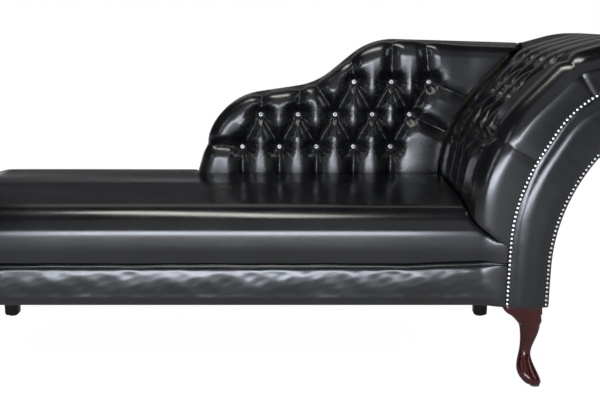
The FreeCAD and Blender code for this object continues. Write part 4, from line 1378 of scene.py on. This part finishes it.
class CHAISE_OT_nails(bpy.types.Operator):
    """Set the two rows of decorative nails along the facing"""

    bl_idname = "chaise.nails"
    bl_label = "Nails"

    def execute(self, context):
        outline = scroll_outline(0, -NAIL_INSET)
        lobe = len(NAIL_RUN) - 1
        inner = outline[:lobe + 2] + [(NAIL_RUN[-1][0], outline[lobe + 1][1], 0.0)]
        outer = shifted(OUTER_RUN, NAIL_INSET, closed=False)
        for name, run in (("inner_nails", inner), ("outer_nails", outer)):
            places = [(x, FACING_Y, z) for x, z in spaced(rounded(run, closed=False), NAIL_PITCH)]
            nails = copies(name + "_bright", dome("nail", *NAIL), places)
            # Each row takes its own finish: the outer row's is the darker copy, with painted shade.
            finished(nails, name + "_nickel", name)
        return {"FINISHED"}


# A front leg from its block down: share of the height, then width, depth, lean outward and lean forward in mm. Its
# creased edges lie near its top: whether they are level, within which distance, and how sharp
LEG_BLOCK = 86.0
LEG_SECTIONS = [
    (0.985, 97.0, 86.0, -5.5, 0.0),
    (0.93, 96.0, 85.5, -4.5, 1.0),
    (0.87, 80.0, 76.0, 4.0, 5.0),
    (0.81, 66.0, 62.0, 12.0, 10.0),
    (0.74, 57.0, 50.0, 18.0, 14.0),
    (0.65, 51.0, 42.0, 18.5, 15.0),
    (0.52, 38.0, 32.0, 14.5, 13.0),
    (0.39, 28.0, 28.0, 8.5, 12.0),
    (0.29, 38.0, 38.0, 7.5, 16.0),
    (0.19, 52.0, 50.0, 10.5, 23.0),
    (0.10, 56.0, 54.0, 18.0, 29.0),
    (0.04, 48.0, 48.0, 26.0, 32.0),
    (0.0, 36.0, 36.0, 30.0, 33.0),
]
LEG_CREASES = [(True, 0.0001, 1.0), (False, 0.032, 0.75), (False, 0.055, 0.35)]
GLIDE_HEIGHT = 0.003


class CHAISE_OT_legs(bpy.types.Operator):
    """Make the polished cabriole front legs"""

    bl_idname = "chaise.legs"
    bl_label = "Front legs"

    def execute(self, context):
        block = 0.086
        y = BAND_FRONT_Y + block / 2
        head_x, foot_x = NAIL_RUN[0][0] + 0.006 + block / 2, FOOT_X + 0.078
        plane = bpy.ops.mesh.primitive_plane_add
        for name, x, toe in (("front_head_leg", head_x, 1), ("front_foot_leg", foot_x, -1)):
            leg = added(name + "_polished", plane, size=block, location=(x, y, BASE_Z))
            before, before_wide, before_deep = Vector((x, y, BASE_Z)), LEG_BLOCK, LEG_BLOCK
            sections = []
            for share, wide, deep, lean_out, lean_front in LEG_SECTIONS:
                height = GLIDE_HEIGHT + (BASE_Z - GLIDE_HEIGHT) * share
                centre = Vector((x + lean_out * MM * toe, y - lean_front * MM, height))
                sections.append((centre - before, (wide / before_wide, deep / before_deep, 1), centre))
                before, before_wide, before_deep = centre, wide, deep
            extruded(leg, sections)
            crease = leg.data.attributes.new("crease_edge", "FLOAT", "EDGE")
            for edge in leg.data.edges:
                first, last = (leg.data.vertices[index].co.z for index in edge.vertices)
                for level, reach, sharpness in LEG_CREASES:
                    if (abs(first - last) < 1e-6) == level and min(first, last) > BASE_Z - reach:
                        crease.data[edge.index].value = sharpness
                        break
            finished(faced_out(subdivided(leg, 3)), "leg_mahogany", name)
        return {"FINISHED"}


class CHAISE_OT_blocks(bpy.types.Operator):
    """Make the plain block legs at the back, rounded and slightly tapered"""

    bl_idname = "chaise.blocks"
    bl_label = "Block legs"

    def execute(self, context):
        width, taper, gap = 0.046, (0.88, 0.88, 1), 0.0003
        plane = bpy.ops.mesh.primitive_plane_add
        for name in ("rear_head_leg", "rear_foot_leg"):
            low, high = (Vector(corner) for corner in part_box(name))
            x, y, _ = (low + high) / 2
            leg = added(name + "_block", plane, size=width, location=(x, y, high.z - gap))
            extruded(leg, [((0, 0, low.z - high.z + gap), taper, (x, y, low.z))])
            applied(faced_out(leg), "BEVEL", width=0.008, segments=4, limit_method="ANGLE")
            finished(leg, "dark_block_wood", name)
        return {"FINISHED"}


# The studio. Each lamp has its place, width, height, power and colour
FLOOR_SEEN = 0.87
FLOOR_MIRRORED = 0.06
FLOOR_GLOW = 1.12
SKY_STOPS = [
    (0.0, (1.0, 1.0, 1.0)),
    (0.022, (1.0, 1.0, 1.0)),
    (0.06, (0.05, 0.05, 0.055)),
    (1.0, (0.03, 0.03, 0.035)),
]
LAMPS = {
    "front_softbox": ((-0.40, -3.7, 0.54), 2.4, 0.58, 112.0, (0.84, 0.89, 1.0)),
    "front_top_sheet": ((0.0, -3.0, 2.7), 3.2, 2.4, 16.0, (0.92, 0.95, 1.0)),
    "overhead_strip": ((-0.45, -0.55, 3.1), 1.7, 0.55, 46.0, (1.0, 0.98, 0.92)),
    "back_sheet": ((0.0, 2.6, 2.6), 3.4, 1.8, 7.0, (1.0, 0.98, 0.95)),
    "left_tall": ((-2.6, -2.7, 1.7), 0.16, 1.5, 12.0, (0.86, 0.91, 1.0)),
    "head_side": ((3.4, -1.9, 1.9), 0.6, 2.0, 26.0, (0.90, 0.94, 1.0)),
}
LAMP_AIM = Vector((0.1, 0.0, 0.5))


def set_floor():
    """A pale floor that the camera sees white and that the leather hardly mirrors."""
    floor = added("studio_floor", bpy.ops.mesh.primitive_plane_add, size=60, location=(0, 0, -0.0002))
    material = bpy.data.materials.new("pale_floor")
    finish = Finish(material)
    seen = finish.ray("Camera") * FLOOR_SEEN
    seen = seen.larger(finish.ray("Glossy") * FLOOR_MIRRORED)
    seen = seen.larger(finish.ray("Transmission") * FLOOR_SEEN)
    paint = finish.node("ShaderNodeBsdfDiffuse", {}, {"Color": (0.80, 0.80, 0.80, 1.0)})
    glow = finish.node("ShaderNodeEmission", {}, {"Color": (1, 1, 1, 1), "Strength": FLOOR_GLOW})
    mixed = finish.node("ShaderNodeMixShader", {}, {0: seen, 1: paint, 2: glow})
    finish.node("ShaderNodeOutputMaterial", {}, {"Surface": mixed})
    floor.data.materials.append(material)


def set_sky(scene):
    """A world that is white low down and dark above for what is seen, with an even fill for the rest."""
    scene.world = bpy.data.worlds.new("studio")
    sky = Finish(scene.world)
    seen = sky.ray("Camera").larger(sky.ray("Glossy")).larger(sky.ray("Transmission"))
    way = sky.node("ShaderNodeTexCoord", {}, {}, "Generated")
    shade = sky.ramp(sky.node("ShaderNodeSeparateXYZ", {}, {0: way}, "Z"), SKY_STOPS)
    backdrop = sky.node("ShaderNodeBackground", {}, {"Color": shade, "Strength": 1.0})
    fill = sky.node("ShaderNodeBackground", {}, {"Color": (0.9, 0.95, 1.0, 1.0), "Strength": 0.28})
    mixed = sky.node("ShaderNodeMixShader", {}, {0: seen, 1: fill, 2: backdrop})
    sky.node("ShaderNodeOutputWorld", {}, {"Surface": mixed})


def set_lamps(scene):
    """The lamps, all aimed at the chaise and out of the camera's sight."""
    for name, (place, width, height, power, colour) in LAMPS.items():
        lamp = bpy.data.lights.new(name, "AREA")
        lamp.shape = "RECTANGLE"
        lamp.size, lamp.size_y = width, height
        lamp.energy = power * scene.chaise_look.lamp_power
        lamp.color = colour
        holder = bpy.data.objects.new(name, lamp)
        scene.collection.objects.link(holder)
        holder.location = place
        holder.rotation_euler = (LAMP_AIM - Vector(place)).to_track_quat("-Z", "Y").to_euler()
        holder.visible_camera = False


def set_camera(scene):
    """The camera of the photograph's view."""
    eye = bpy.data.cameras.new("photo_camera")
    eye.lens = 60.0
    eye.sensor_width = 36.0
    eye.clip_end = 200.0
    camera = bpy.data.objects.new("photo_camera", eye)
    camera.location = (0.0, -2.679, 0.906)
    camera.rotation_euler = (math.radians(79.30), 0.0, 0.0)
    scene.collection.objects.link(camera)
    scene.camera = camera
    scene.view_settings.view_transform = "Standard"


class CHAISE_OT_stage(bpy.types.Operator):
    """Set the pale floor, the sky, the lamps and the camera"""

    bl_idname = "chaise.stage"
    bl_label = "Studio"

    def execute(self, context):
        set_floor()
        set_sky(context.scene)
        set_lamps(context.scene)
        set_camera(context.scene)
        return {"FINISHED"}


class CHAISE_PT_panel(bpy.types.Panel):
    """The chaise's pieces in the 3D view's sidebar"""

    bl_idname = "CHAISE_PT_panel"
    bl_label = "Chaise longue"
    bl_space_type = "VIEW_3D"
    bl_region_type = "UI"
    bl_category = "Chaise"

    def draw(self, context):
        for group in (context.scene.chaise_form, context.scene.chaise_look):
            box = self.layout.box()
            for name in group.__annotations__:
                box.prop(group, name)
        for operator in OPERATORS:
            self.layout.operator(operator.bl_idname)


OPERATORS = [
    CHAISE_OT_finishes,
    CHAISE_OT_wing,
    CHAISE_OT_head,
    CHAISE_OT_seat,
    CHAISE_OT_facing,
    CHAISE_OT_bands,
    CHAISE_OT_piping,
    CHAISE_OT_outside,
    CHAISE_OT_buttons,
    CHAISE_OT_nails,
    CHAISE_OT_legs,
    CHAISE_OT_blocks,
    CHAISE_OT_stage,
]
CLASSES = [ChaiseForm, ChaiseLook, *OPERATORS, CHAISE_PT_panel]


def register():
    """Add the property groups, the operators and the panel to Blender."""
    for made in CLASSES:
        bpy.utils.register_class(made)
    bpy.types.Scene.chaise_form = bpy.props.PointerProperty(type=ChaiseForm)
    bpy.types.Scene.chaise_look = bpy.props.PointerProperty(type=ChaiseLook)


def unregister():
    """Take them out again."""
    del bpy.types.Scene.chaise_look
    del bpy.types.Scene.chaise_form
    for made in reversed(CLASSES):
        bpy.utils.unregister_class(made)


def main():
    """Build everything."""
    register()
    for operator in OPERATORS:
        group, name = operator.bl_idname.split(".")
        getattr(getattr(bpy.ops, group), name)()


if __name__ == "__main__":
    main()
